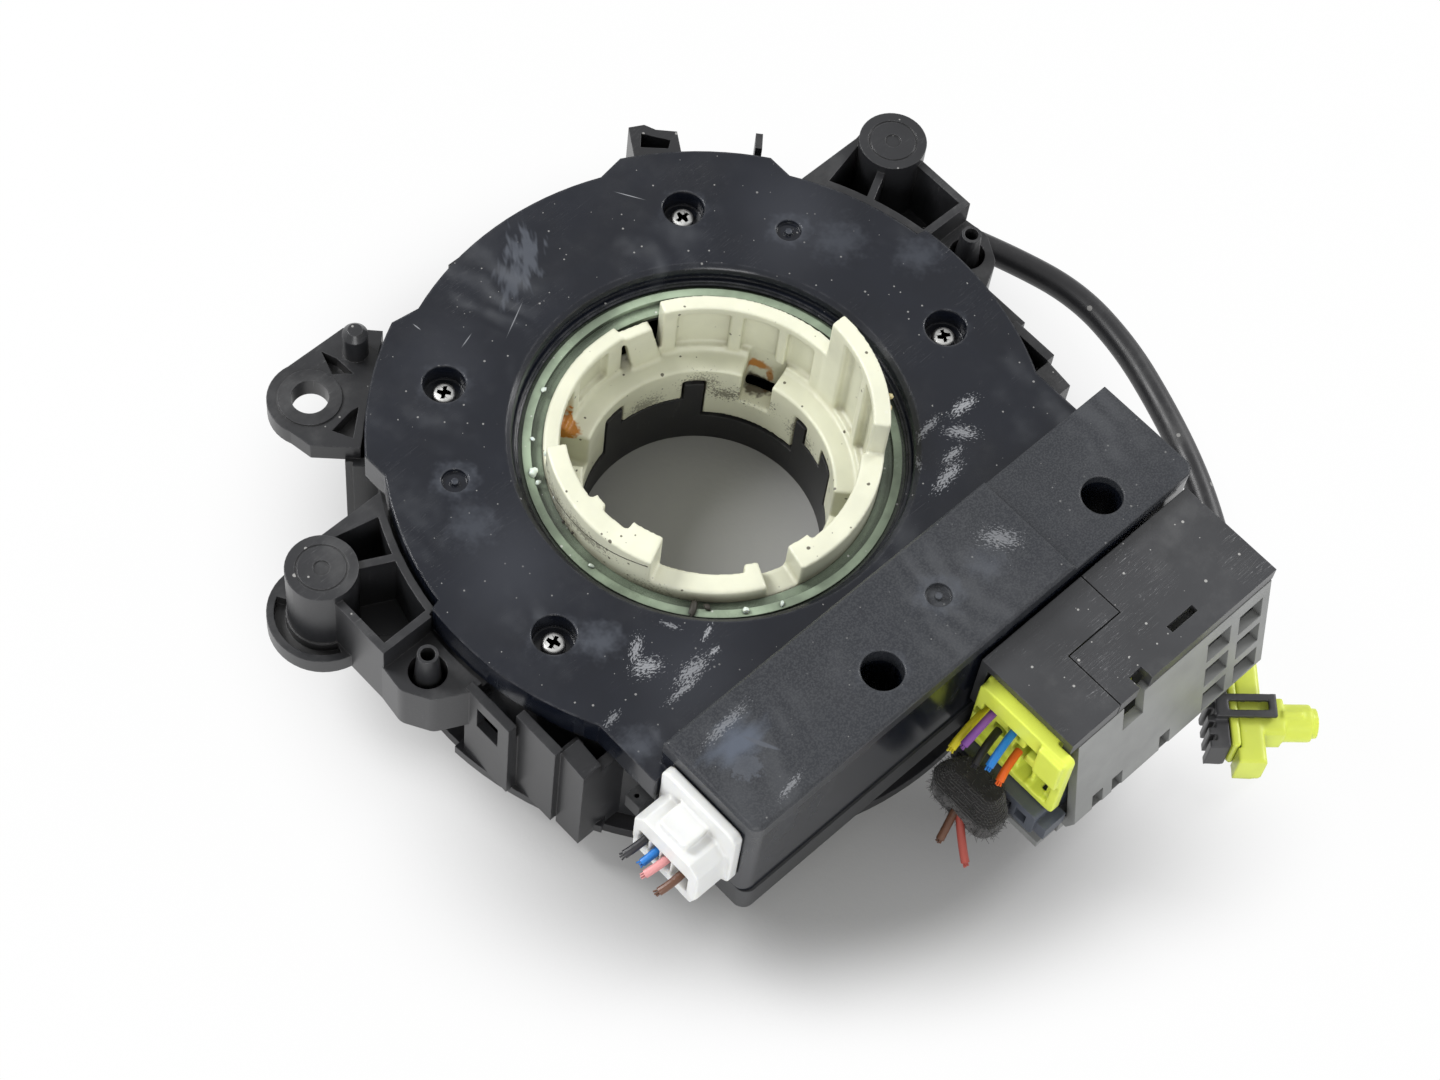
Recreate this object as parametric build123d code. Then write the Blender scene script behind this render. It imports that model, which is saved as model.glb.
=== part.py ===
from build123d import *
import math
import os

# Steering clock spring, seen and used with its column side up.
# The origin lies on the ring's axis at the wheel-side face. +Z points to the steering column,
# +X runs along the sensor box and -Y points from the ring to the connectors.
# All sizes are in millimetres and all angles in degrees.

os.makedirs("parts", exist_ok=True)

# Heights of the main faces above the wheel-side face
PLATE_T = 2.4
DRUM_Z = 3.2
DECK_TOP = 12.2
BASE_FLOOR_T = 1.6
COVER_TOP = 34.0
COVER_DEPTH = 6.0
BOX_RISE = 7.0
BOX_RISE_LOW = 5.5
BOX_SHELL_Z = 18.4
TRAY_Z = 12.5

# Radii of the ring
COLUMN_BORE_R = 20.3
PLATE_R = 55.3
DRUM_R = 53.0
DRUM_WALL = 1.8
COVER_HOLE_R = 32.3
COVER_R = 52.3
COVER_LOBE_R = 55.0
COVER_SKIRT_R = 53.9
COVER_WALL = 1.6
LIP_WALL = 1.6

# Sensor box
BOX_X0 = -44.8
BOX_STEP_X = 23.35
BOX_X1 = 51.0
BOX_Y0 = -55.8
BOX_Y1 = -35.9
BOX_WALL = 1.8
BOX_HOLES = [(-12.0, -48.9, COVER_TOP + BOX_RISE), (36.2, -49.4, COVER_TOP + BOX_RISE_LOW)]
BOX_HOLE_R = 3.4
TUBE_WALL = 1.4
CORNER_X = 47.6

# Cover screws
SCREW_PCR = 43.6
SCREW_ANGLES = [53.5, 126.5, -12.6, 192.6]
SCREW_WELL_R = 3.45
SCREW_HEAD_R = 1.95
SCREW_HEAD_T = 1.3
SCREW_SHANK_R = 1.1
SCREW_LENGTH = 11.0
SCREW_DROP = 3.8
SCREW_HOLE_R = 1.3
GATES = [(36.2, 20.7, COVER_TOP), (-36.2, 20.7, COVER_TOP), (3.6, -45.4, COVER_TOP + BOX_RISE)]
GATE_R = 2.1
GATE_DEPTH = 0.8

# Rotor
BEARING_GAP = 0.08
COLLAR_R = 27.0
COLLAR_IN_R = 24.4
COLLAR_LOW_R = COLUMN_BORE_R
COLLAR_SKIRT_Z = 13.0
LEDGE_Z = 21.0
FINGER_TOP = 43.0
SNAP_FINGER_TOP = 31.2
HUB_TUBE_R = 24.4
JOIN_GAP = 0.15
JOIN_SLIT = 1.0
JOIN_SIDE_GAP = 0.4
CABLE_DRUM_R = 30.4
CABLE_DRUM_WALL = 1.5

# Heights of the joint between hub and collar, and where each one starts round the ring
JOIN_LOW = 7.8
JOIN_STEP = 12.4
JOIN_TOOTH = 17.6
JOIN_STARTS = [
    (1, JOIN_LOW), (47, JOIN_TOOTH), (58, JOIN_STEP), (89, JOIN_TOOTH),
    (101, JOIN_LOW), (147, JOIN_TOOTH), (158, JOIN_STEP), (189, JOIN_TOOTH),
    (201, JOIN_LOW), (235, JOIN_TOOTH), (246, JOIN_STEP), (270, JOIN_TOOTH),
    (281, JOIN_LOW), (327, JOIN_TOOTH), (340, JOIN_STEP), (353, JOIN_TOOTH),
]

# Walls above the collar's ledge: start and end round the ring, top and inner radius
COLLAR_WALLS = [
    (-1, 66, 33.4, COLLAR_IN_R),
    (83, 147, 31.0, COLLAR_IN_R),
    (147, 172, 37.4, 23.8),
    (172, 178, 37.4, 22.6),
    (178, 191, 37.4, 23.5),
    (191, 205, 37.4, 21.8),
    (205, 239, 32.0, 23.4),
    (239, 245, 32.0, 22.0),
    (245, 257, 29.2, 22.8),
    (257, 267, 34.4, 22.4),
    (267, 312, 34.4, 23.4),
    (312, 359, FINGER_TOP, 24.2),
]
COLLAR_PANELS = [(5, 17), (21, 35), (40, 60), (90, 107), (112, 128), (316, 332), (336, 350)]
COLLAR_WINDOWS = [(16, 31), (119, 133), (300, 312)]

# Angle gears
MODULE = 0.8
RING_TEETH = 84
PINION_TEETH = {"a": 20, "b": 18}
PINION_PITCHES = {"a": -18, "b": -27}
PRESSURE = 20.0
BACKLASH = 0.14
GEAR_T = 1.2
GEAR_GAP = 0.4
RING_RIM_R = 30.3
RING_RIM_IN_R = 28.9
RING_WEB_T = 0.8
RING_RIM_T = 1.9
PINION_T = 2.0
PINION_PIN_R = 1.5
PINION_PLAY = 0.06
MAGNET_R = 2.7
MAGNET_T = 1.2

# Sensor board
BOARD_T = 1.2
BOARD_X0 = -39.0
BOARD_POSTS = [(-33.0, -52.0), (26.5, -43.0), (-31.0, -42.5), (45.0, -42.0)]

# Mounting ears and bosses, mirrored about X = 0
BOSS = (61.8, 22.2)
BOSS_R = 5.7
BOSS_TOP = 34.4
BOSS_BORE_R = 2.1
BOSS_BORE_DEPTH = 12.0
FOOT_R = 9.0
FOOT_Z = 16.7
FOOT_T = 3.5
EAR_TOP = 32.7
EAR_WALL = 1.3
PIN = (59.0, 0.7)
PIN_TOP = 33.6
PIN_TIP_R = 1.65
PIN_FOOT_R = 2.75
PIN_BORE_R = 1.15
PIN_BORE_DEPTH = 9.0
PIN_HOLE_R = 3.05
PIN_PLATE_TOP = 27.8
GUARD_T = 1.6

# Bolt lug on the left
LUG_HOLE = (-41.4, 49.7)
LUG_HOLE_R = 3.05
LUG_TOP = 28.0
LUG_T = 3.7
LUG_PIN = (-30.2, 51.7)
LUG_PIN_RISE = 6.4

# Connector block
BLOCK_X0 = 2.5
BLOCK_X1 = 48.7
BLOCK_Y0 = -75.85
BLOCK_Y1 = -56.5
BLOCK_TOP = 37.1
BLOCK_WALL = 1.6
BLOCK_FLOOR_Z = 9.5
BLOCK_BULGE = 4.2
HOOD_X_INNER = 24.7
HOOD_X_OUTER = 13.2
HOOD_SEAM_Y = -64.7

# Free lead
LEAD_R = 2.4
LEAD_ROUTE = [
    (52.2, 33.2, 6.4),
    (63.0, 28.2, 5.6),
    (71.6, 19.8, 4.3),
    (78.6, 5.0, 3.0),
    (82.6, -8.2, 2.6),
    (81.2, -21.4, 2.6),
    (76.9, -34.4, 2.6),
    (71.8, -46.4, 2.6),
    (65.8, -56.6, 2.6),
    (59.3, -65.4, 2.7),
    (50.5, -75.15, 3.0),
]
GROMMET_R = 3.7
GROMMET_LENGTH = 12.0

# Airbag plug at the lead's end
SQUIB_H = 6.6
SQUIB_HALF = 2.8
SQUIB_FOOT = 9.0
SQUIB_BAR = 14.0
SQUIB_PLACE = (42.8, -83.7, -42.0)

# Wires cut off at the plugs
WIRE_R = 0.7

# Values worked out from the ones above
base_top = COVER_TOP - COVER_DEPTH
base_z = base_top - BASE_FLOOR_T
gear_z = base_top + GEAR_GAP
ring_pitch_r = MODULE * RING_TEETH / 2
board_z = gear_z + PINION_T + 0.6


def polar(radius, angle):
    return (radius * math.cos(math.radians(angle)), radius * math.sin(math.radians(angle)))


def block(x0, x1, y0, y1, z0, z1):
    return Pos((x0 + x1) / 2, (y0 + y1) / 2, (z0 + z1) / 2) * Box(x1 - x0, y1 - y0, z1 - z0)


def disc(x, y, radius, z0, z1):
    return Pos(x, y, (z0 + z1) / 2) * Cylinder(radius, z1 - z0)


def taper(x, y, r_low, r_high, z0, z1):
    return Pos(x, y, (z0 + z1) / 2) * Cone(r_low, r_high, z1 - z0)


def ring(r_in, r_out, z0, z1):
    return disc(0, 0, r_out, z0, z1) - disc(0, 0, r_in, z0 - 1, z1 + 1)


def prism(points, z0, z1):
    outline = make_face(Polyline(*points, close=True))
    return Pos(0, 0, z0) * extrude(outline, z1 - z0)


def side_prism(points, x0, x1):
    """A profile of (y, z) points run along X."""
    outline = make_face(Polyline(*[(x0, y, z) for y, z in points], close=True))
    return extrude(outline, x1 - x0, dir=(1, 0, 0))


def sector(r_in, r_out, z0, z1, start, end):
    """A stretch of ring between two angles."""
    middle = (start + end) / 2
    edges = [
        ThreePointArc(polar(r_out, start), polar(r_out, middle), polar(r_out, end)),
        Line(polar(r_out, end), polar(r_in, end)),
        ThreePointArc(polar(r_in, end), polar(r_in, middle), polar(r_in, start)),
        Line(polar(r_in, start), polar(r_out, start)),
    ]
    return Pos(0, 0, z0) * extrude(make_face(edges), z1 - z0)


def both_sides(shape):
    return shape + mirror(shape, about=Plane.YZ)


def upright_edges(shape, x, y, reach):
    """The vertical edges within a given distance of a point in plan."""
    def near(edge):
        centre = edge.center()
        return math.hypot(centre.X - x, centre.Y - y) < reach
    return [edge for edge in shape.edges().filter_by(Axis.Z) if near(edge)]


def cover_outline(inset):
    """The ring cover's outline: plain arcs, two raised lobes and square shoulders under the box."""
    plain = COVER_R - inset
    lobe = COVER_LOBE_R - inset
    skirt = COVER_SKIRT_R - inset
    corner = CORNER_X - inset
    corner_angle = math.degrees(math.acos(corner / skirt))
    arcs = [
        (skirt, -corner_angle, 6.4),
        (plain, 7.1, 33.0),
        (lobe, 37.0, 63.3),
        (plain, 67.8, 112.2),
        (lobe, 116.7, 143.0),
        (plain, 147.0, 172.9),
        (skirt, 173.6, 180 + corner_angle),
    ]
    edges = []
    last = (corner, BOX_Y1 - BOX_WALL)
    for radius, start, end in arcs:
        edges.append(Line(last, polar(radius, start)))
        middle = (start + end) / 2
        edges.append(ThreePointArc(polar(radius, start), polar(radius, middle), polar(radius, end)))
        last = polar(radius, end)
    edges.append(Line(last, (-corner, BOX_Y1 - BOX_WALL)))
    edges.append(Line((-corner, BOX_Y1 - BOX_WALL), (corner, BOX_Y1 - BOX_WALL)))
    return make_face(edges)


def box_inside():
    """The sensor box inside its walls: its X and Y limits."""
    return BOX_X0 + BOX_WALL, BOX_X1 - BOX_WALL, BOX_Y0 + BOX_WALL, BOX_Y1 - BOX_WALL


def sensor_cover():
    """Ring cover and sensor box, one moulding."""
    top_low = COVER_TOP + BOX_RISE_LOW
    top_high = COVER_TOP + BOX_RISE
    shell = Pos(0, 0, base_top) * extrude(cover_outline(0), COVER_DEPTH)
    case = block(BOX_X0, BOX_X1, BOX_Y0, BOX_Y1, BOX_SHELL_Z, top_low)
    case += block(BOX_X0, BOX_STEP_X, BOX_Y0, BOX_Y1, top_low, top_high)
    case = fillet(upright_edges(case, BOX_X0, BOX_Y0, 1) + upright_edges(case, BOX_X1, BOX_Y0, 1), 2.0)
    case = chamfer(case.faces().sort_by(Axis.Z)[-1].edges(), 0.5)
    shell += case
    shell -= Pos(0, 0, base_top - 1) * extrude(cover_outline(COVER_WALL), COVER_DEPTH + 1 - COVER_WALL)
    x0, x1, y0, y1 = box_inside()
    shell -= block(x0, x1, y0, BOX_Y1 + 1, BOX_SHELL_Z - 1, base_top)
    shell -= block(x0, x1, y0, y1, base_top - 1, top_low - BOX_WALL)
    shell -= block(x0, BOX_STEP_X - BOX_WALL, y0, y1, base_top, top_high - BOX_WALL)
    lip = ring(COVER_HOLE_R, COVER_HOLE_R + LIP_WALL, gear_z + RING_RIM_T - 0.3, COVER_TOP)
    ledge = ring(RING_RIM_R + 0.6, COVER_HOLE_R + LIP_WALL, gear_z + GEAR_T + 0.4, gear_z + GEAR_T + 1.2)
    wells = Part()
    bores = taper(0, 0, RING_RIM_R + 0.9, COVER_HOLE_R, gear_z + RING_RIM_T, COVER_TOP)
    well_floor = COVER_TOP - SCREW_DROP
    for angle in SCREW_ANGLES:
        x, y = polar(SCREW_PCR, angle)
        wells += disc(x, y, SCREW_WELL_R + TUBE_WALL, base_top, COVER_TOP - COVER_WALL)
        bores += disc(x, y, SCREW_WELL_R, well_floor, COVER_TOP + 1)
        bores += disc(x, y, SCREW_HOLE_R, base_top - 1, COVER_TOP)
    for x, y, top in BOX_HOLES:
        wells += disc(x, y, BOX_HOLE_R + TUBE_WALL, BOX_SHELL_Z, top - BOX_WALL)
        bores += disc(x, y, BOX_HOLE_R, BOX_SHELL_Z - 1, top + 1)
    for x, y, top in GATES:
        bores += disc(x, y, GATE_R, top - GATE_DEPTH, top + 1)
        wells += disc(x, y, GATE_R + 1, top - GATE_DEPTH - COVER_WALL, top - COVER_WALL)
    shell = shell + lip + ledge + wells - bores
    for x, y, top in GATES:
        shell += disc(x, y, 0.6, top - GATE_DEPTH, top - 0.15)
    shell -= block(BOX_X0 - 1, BOX_X0 + BOX_WALL + 1, -53.0, -38.2, 21.6, 36.6)
    lip_edges = [
        edge for edge in shell.edges().filter_by(GeomType.CIRCLE)
        if abs(edge.radius - COVER_HOLE_R) < 0.01 and abs(edge.center().Z - COVER_TOP) < 0.01
    ]
    return chamfer(lip_edges, 0.6)


def sensor_base():
    """Grey tray that closes the sensor from below: ring floor, step wall and box floor."""
    floor = Pos(0, 0, base_z) * extrude(cover_outline(0.6), BASE_FLOOR_T)
    floor -= disc(0, 0, COLLAR_R + 0.8, base_z - 1, base_top + 1)
    shelf = block(-34, 30, -45.4, BOX_Y1, base_z, base_top)
    x0, x1, y0, y1 = box_inside()
    step = block(x0 + 0.1, x1 - 0.1, y1, BOX_Y1, TRAY_Z, base_top)
    front = BOX_Y0 - 0.4
    tray = block(BOX_X0, BOX_X1, front, BOX_Y1, TRAY_Z, BOX_SHELL_Z)
    tray = fillet(upright_edges(tray, BOX_X0, front, 1) + upright_edges(tray, BOX_X1, front, 1), 2.0)
    tray -= block(x0, x1, y0, y1, TRAY_Z + BASE_FLOOR_T, base_top)
    base = floor + shelf + step + tray
    for x, y, top in BOX_HOLES:
        base += disc(x, y, BOX_HOLE_R + TUBE_WALL, TRAY_Z, BOX_SHELL_Z)
        base -= disc(x, y, BOX_HOLE_R, TRAY_Z - 1, BOX_SHELL_Z + 1)
        base -= disc(x, y, BOX_HOLE_R + TUBE_WALL + 0.2, BOX_SHELL_Z, base_top + 1)
    for angle in SCREW_ANGLES:
        x, y = polar(SCREW_PCR, angle)
        base -= disc(x, y, SCREW_HOLE_R, base_z - 1, base_top + 1)
    for x, y in BOARD_POSTS:
        foot = base_top if y > -45 and -34 < x < 30 else TRAY_Z + BASE_FLOOR_T
        base += disc(x, y, 1.6, foot - 0.2, board_z)
    for name in PINION_TEETH:
        x, y = pinion_place(name)
        base += disc(x, y, PINION_PIN_R, base_top - 0.2, gear_z + PINION_T - MAGNET_T - 0.2)
        base += disc(x, y, PINION_PIN_R + 1, base_top - 0.2, gear_z - 0.1)
    base += block(BOX_X0 - 3.4, BOX_X0 + 1.0, BOX_Y1 + 0.1, BOX_Y1 + 3.2, BOX_SHELL_Z, 22.0)
    base += block(BOX_X0 + 0.2, BOX_X0 + 2.0, BOX_Y1 - 0.5, BOX_Y1 + 0.5, TRAY_Z + 3.0, BOX_SHELL_Z)
    base += block(BOX_X0, BOX_X0 + 2.0, BOX_Y1 + 0.1, BOX_Y1 + 3.2, TRAY_Z + 3.0, 22.0)
    base -= disc(BOX_X0 - 2.2, BOX_Y1 + 1.9, 0.4, 20.0, 23.0)
    return base - block(BOX_X0 - 1, x0 + 0.1, y1 - 0.1, BOX_Y1 + 0.1, BOX_SHELL_Z, base_top + 1)


def sensor_board():
    """Circuit board over the pinions."""
    margin = BOX_WALL + 0.5
    board = block(
        BOARD_X0, BOX_X1 - margin, BOX_Y0 + margin, BOX_Y1 - margin, board_z, board_z + BOARD_T
    )
    lug = sector(COVER_HOLE_R + LIP_WALL + 1.2, SCREW_PCR, board_z, board_z + BOARD_T, 232, 296)
    board += lug
    for x, y, top in BOX_HOLES:
        board -= disc(x, y, BOX_HOLE_R + TUBE_WALL + 0.5, board_z - 1, board_z + 3)
    return board


def board_components():
    """Processor, regulator and capacitor soldered on the board."""
    top = board_z + BOARD_T
    x, y = pinion_place("a")
    return [
        block(x - 4, x + 4, -49.5, -41.5, top, top + 1.4),
        block(-32, -26, -49, -44, top, top + 1.6),
        disc(22.0, -48.0, 2.2, top, top + 3.0),
        block(41, 46, -51, -45, top, top + 1.2),
    ]


def terminal_pins():
    """Four pins from the board into the plug's socket."""
    pins = []
    for index in range(4):
        y = -50.2 + 3.2 * index
        pin = block(BOX_X0 + 0.8, BOARD_X0 + 1.6, y - 0.32, y + 0.32, 27.0, 27.64)
        pin += block(BOARD_X0 + 0.96, BOARD_X0 + 1.6, y - 0.32, y + 0.32, 27.0, board_z)
        pins.append(pin)
    return pins


def cover_screws():
    """Four pan-head screws with a cross recess."""
    screws = []
    seat = COVER_TOP - SCREW_DROP
    for angle in SCREW_ANGLES:
        x, y = polar(SCREW_PCR, angle)
        head = disc(x, y, SCREW_HEAD_R, seat, seat + SCREW_HEAD_T)
        head = chamfer(head.faces().sort_by(Axis.Z)[-1].edges(), 0.45)
        cross = block(x - 1.1, x + 1.1, y - 0.22, y + 0.22, seat + 0.5, seat + SCREW_HEAD_T + 1)
        cross += block(x - 0.22, x + 0.22, y - 1.1, y + 1.1, seat + 0.5, seat + SCREW_HEAD_T + 1)
        cross = Pos(x, y, 0) * Rot(0, 0, angle) * Pos(-x, -y, 0) * cross
        shank = disc(x, y, SCREW_SHANK_R, seat - SCREW_LENGTH, seat)
        screws.append(head - cross + shank)
    return screws


def ear():
    """Right-hand mounting ear: boss, foot ring, two pockets and the hollow pin's plate."""
    x, y = BOSS
    arc_in = DRUM_R - 1.0
    wall_in = COVER_R + 0.9
    plan = [
        polar(arc_in, 31.0), (45.6, 27.3), (58.4, 27.3), (x, y + BOSS_R), (x + 1.9, y),
        (x + 1.9, 5.5), (53.5, 5.5), polar(arc_in, 5.8), polar(arc_in, 18.0),
    ]
    body = prism(plan, FOOT_Z, EAR_TOP)
    body -= ring(0.1, wall_in, base_z, EAR_TOP + 1)
    body -= Pos(0, 0, base_z) * extrude(cover_outline(-0.5), EAR_TOP)
    pocket_z = FOOT_Z + FOOT_T
    arc_out = wall_in + EAR_WALL
    pocket_plan = [
        polar(arc_out, 26.2), (57.5, 26.0), (62.4, 20.0), (62.4, 6.8),
        polar(arc_out, 7.3), polar(arc_out, 17.0),
    ]
    pocket = prism(pocket_plan, pocket_z, EAR_TOP + 1)
    pocket -= disc(0, 0, arc_out, pocket_z - 1, EAR_TOP + 2)
    rib = Pos(x, y, 0) * Rot(0, 0, 207) * block(0, 14, -0.65, 0.65, pocket_z - 1, EAR_TOP)
    pocket -= rib
    pocket -= disc(x, y, BOSS_R, pocket_z - 1, EAR_TOP + 2)
    body -= pocket
    body += disc(59.2, 10.6, 2.6, pocket_z - 0.2, pocket_z + 0.5)
    body += disc(x, y, BOSS_R, FOOT_Z, BOSS_TOP)
    foot = disc(x, y, FOOT_R, FOOT_Z, pocket_z)
    foot -= disc(0, 0, wall_in, FOOT_Z - 1, pocket_z + 1)
    body += foot
    groove = Pos(x, y, 0) * sector(BOSS_R + 0.3, FOOT_R - 1.2, pocket_z - 2.0, pocket_z + 1, -70, 60)
    body -= groove
    body -= disc(x, y, 4.1, BOSS_TOP - 0.15, BOSS_TOP + 1) - disc(x, y, 3.8, BOSS_TOP - 1, BOSS_TOP + 2)
    body -= disc(x, y, 1.3, BOSS_TOP - 0.25, BOSS_TOP + 1)
    body -= disc(x, y, BOSS_BORE_R, FOOT_Z - 1, FOOT_Z + BOSS_BORE_DEPTH)
    return body + pin_plate()


def pin_plate():
    """Closed cup with the hollow pin standing up through the hole in its top."""
    x, y = PIN
    inner = DRUM_R - 1.2
    plan = [
        (inner, y + 5.3), (x + 4.7, y + 5.3), (x + 5.3, y + 0.3), (x + 2.6, y - 4.3), (x - 2.4, y - 6.9),
        (inner, y - 6.9),
    ]
    cup = prism(plan, FOOT_Z, PIN_PLATE_TOP)
    cup = fillet(upright_edges(cup, x + 5.3, y + 0.3, 1) + upright_edges(cup, x + 2.6, y - 4.3, 1), 2.4)
    cup -= disc(0, 0, COVER_SKIRT_R + 0.5, base_z, PIN_PLATE_TOP + 1)
    cup -= disc(x, y, PIN_HOLE_R, FOOT_Z + 2.0, PIN_PLATE_TOP + 1)
    cup += taper(x, y, PIN_FOOT_R, PIN_TIP_R, FOOT_Z + 1.8, PIN_TOP)
    cup -= disc(x, y, PIN_BORE_R, PIN_TOP - PIN_BORE_DEPTH, PIN_TOP + 1)
    return cup


def side_guards():
    """Right-hand snap plate with its window, guard plate and post beside the cover's shoulder."""
    inner = DRUM_R - 1.0
    low = DRUM_Z + 3.0
    snap_x = DRUM_R + 2.0
    plate = block(snap_x, snap_x + GUARD_T, -15.2, -5.2, low, LUG_TOP)
    plate -= block(snap_x - 1, snap_x + GUARD_T + 1, -12.8, -8.0, 19.0, 25.0)
    plate += block(snap_x - 4.0, snap_x + 0.2, -7.0, -5.2, low, 24.0)
    plate += block(snap_x - 4.5, snap_x + 0.2, -15.2, -13.6, low, 24.0)
    guard = block(DRUM_R, DRUM_R + GUARD_T, -23.4, -14.6, low, 30.0)
    guard += block(DRUM_R - 4.5, DRUM_R + 0.2, -23.4, -23.4 + GUARD_T, low, 26.0)
    post_outline = [(-28.6, DRUM_Z + 1), (-28.6, 28.2), (-23.4, 29.2), (-23.4, DRUM_Z + 1)]
    post = side_prism(post_outline, DRUM_R - 3.2, DRUM_R + 0.4)
    post += block(DRUM_R - 8.5, DRUM_R - 3.0, -28.6, -26.8, DRUM_Z + 1, 26.0)
    shelf = sector(inner, DRUM_R + 4.6, DRUM_Z + 1, DRUM_Z + 3.2, -31, -4)
    guards = plate + guard + post + shelf
    guards -= disc(0, 0, inner - 0.2, DRUM_Z, EAR_TOP)
    guards -= disc(0, 0, COVER_SKIRT_R - 0.2, base_z, EAR_TOP) & block(0, 60, -60, 0, base_z, EAR_TOP)
    guards -= Pos(0, 0, base_z) * extrude(cover_outline(-0.5), COVER_DEPTH + 2)
    return guards


def bolt_lug():
    """Left lug with its bolt hole, weight-saving pockets, locating pin and supporting wall."""
    x, y = LUG_HOLE
    plan = [(-24.4, 51.8), (-28.9, 56.4), (-41.4, 56.5), (-48.2, 49.7), (-47.0, 42.9), (-41.3, 37.4)]
    lug = prism(plan, LUG_TOP - LUG_T, LUG_TOP)
    lug += disc(x, y, 6.9, LUG_TOP - LUG_T, LUG_TOP)
    lug += disc(x, y, 5.2, LUG_TOP - LUG_T, LUG_TOP + 0.3)
    wall_r = DRUM_R + 3.4
    wall_top = LUG_TOP - LUG_T + 0.5
    wall = sector(wall_r, wall_r + DRUM_WALL, DRUM_Z + 1, wall_top, 116, 138.5)
    for angle in (116, 127, 138.5):
        wall += Rot(0, 0, angle) * block(DRUM_R - 1, wall_r + 0.6, -0.8, 0.8, DRUM_Z + 1, wall_top)
    lug += wall + sector(DRUM_R - 1, wall_r + DRUM_WALL, DRUM_Z + 1, DRUM_Z + 3, 116, 138.5)
    pocket_floor = LUG_TOP - 2.4
    for points in ([(-34.4, 55.2), (-33.4, 52.6), (-33.2, 48.8), (-35.8, 50.8)],
                   [(-42.6, 42.8), (-41.0, 39.6), (-36.6, 43.4), (-38.0, 43.6)]):
        lug -= prism(points, pocket_floor, LUG_TOP + 1)
    lug += disc(*LUG_PIN, 2.1, LUG_TOP - 1, LUG_TOP + LUG_PIN_RISE - 1.2)
    lug += taper(*LUG_PIN, 2.1, 1.2, LUG_TOP + LUG_PIN_RISE - 1.2, LUG_TOP + LUG_PIN_RISE)
    lug -= disc(x, y, LUG_HOLE_R, LUG_TOP - LUG_T - 1, LUG_TOP + 1)
    lug -= Pos(0, 0, base_z) * extrude(cover_outline(-0.5), EAR_TOP)
    return lug


def broken_bracket():
    """Stump of a bracket that has snapped off, and the thin rib beside it."""
    plan = [(29.0, 49.6), (33.2, 55.9), (35.6, 54.6), (36.4, 52.6), (38.9, 50.0), (36.2, 45.9)]
    stump = prism(plan, 14.0, 28.0)
    stump -= prism([(32.0, 51.6), (34.0, 53.6), (36.8, 49.4), (35.4, 48.4)], 18.0, 29.0)
    rib = prism([(46.4, 38.8), (48.6, 40.9), (49.4, 40.0), (47.2, 37.9)], DECK_TOP, 28.5)
    tab = block(-8.0, 3.0, DRUM_R - 1.2, DRUM_R + 1.6, 18.0, 28.0)
    extra = stump + rib + tab
    extra += sector(DRUM_R - 1, DRUM_R + 6, DECK_TOP, DECK_TOP + 2, 50, 61)
    extra += sector(DRUM_R - 1, DRUM_R + 8, DECK_TOP, DECK_TOP + 2, 38, 42)
    return extra - Pos(0, 0, base_z) * extrude(cover_outline(-0.5), COVER_DEPTH + 2)


def connector_arm():
    """Arm under the sensor box that carries the connector block."""
    arm = block(4.0, 47.0, BLOCK_Y1, -34.0, DRUM_Z + 2, DECK_TOP)
    arm -= block(5.8, 45.2, BLOCK_Y1 + 1.8, -33.0, DRUM_Z + 1, DECK_TOP - 1.8)
    for x in (18.0, 31.0):
        arm += block(x - 0.8, x + 0.8, BLOCK_Y1 + 0.5, -36.0, DRUM_Z + 2, DECK_TOP - 1.0)
    arm += block(21.0, 45.0, BLOCK_Y1 - 14.0, BLOCK_Y1 + 0.5, BLOCK_FLOOR_Z - 2.2, BLOCK_FLOOR_Z)
    x, y, top = BOX_HOLES[1]
    arm += disc(x, y, BOX_HOLE_R + 2.2, DRUM_Z + 2, DECK_TOP)
    arm -= disc(x, y, BOX_HOLE_R + 0.6, DRUM_Z, DECK_TOP + 1)
    return arm - disc(0, 0, DRUM_R - 0.6, 0, COVER_TOP)


def stator_housing():
    """Fixed housing: cable drum, deck, upper wall, ears, guards, lug and connector arm."""
    inner = DRUM_R - DRUM_WALL
    bearing_r = COLLAR_R + BEARING_GAP
    drum = ring(inner, DRUM_R, DRUM_Z, DECK_TOP) + ring(bearing_r, DRUM_R, DECK_TOP - 1.4, DECK_TOP)
    drum += ring(bearing_r, bearing_r + 1.8, DECK_TOP - 1.4, DECK_TOP + 6.5)
    upper = ring(inner, DRUM_R, DECK_TOP - 0.5, base_z)
    upper -= block(-60, 60, -60, BOX_Y1 + 0.6, DECK_TOP, COVER_TOP)
    housing = drum + upper
    for angle in SCREW_ANGLES:
        x, y = polar(SCREW_PCR, angle)
        housing += disc(x, y, 3.2, DECK_TOP - 0.5, base_z)
        housing += Rot(0, 0, angle) * block(SCREW_PCR + 2, inner + 0.5, -0.7, 0.7, DECK_TOP - 0.5, base_z - 2)
        housing -= disc(x, y, SCREW_SHANK_R, base_z - 9, base_z + 1)
    for angle in range(20, 170, 25):
        housing += Rot(0, 0, angle) * block(30.5, inner + 0.5, -0.6, 0.6, DECK_TOP - 0.5, DECK_TOP + 4)
    housing += both_sides(ear()) + both_sides(side_guards())
    housing += bolt_lug() + broken_bracket() + connector_arm() + lead_saddle()
    housing -= block(BOX_X0 - 0.3, BOX_X1 + 0.3, BOX_Y0 - 0.5, BOX_Y1 + 0.3, TRAY_Z - 0.3, COVER_TOP)
    return housing - lead_grommet()


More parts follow.
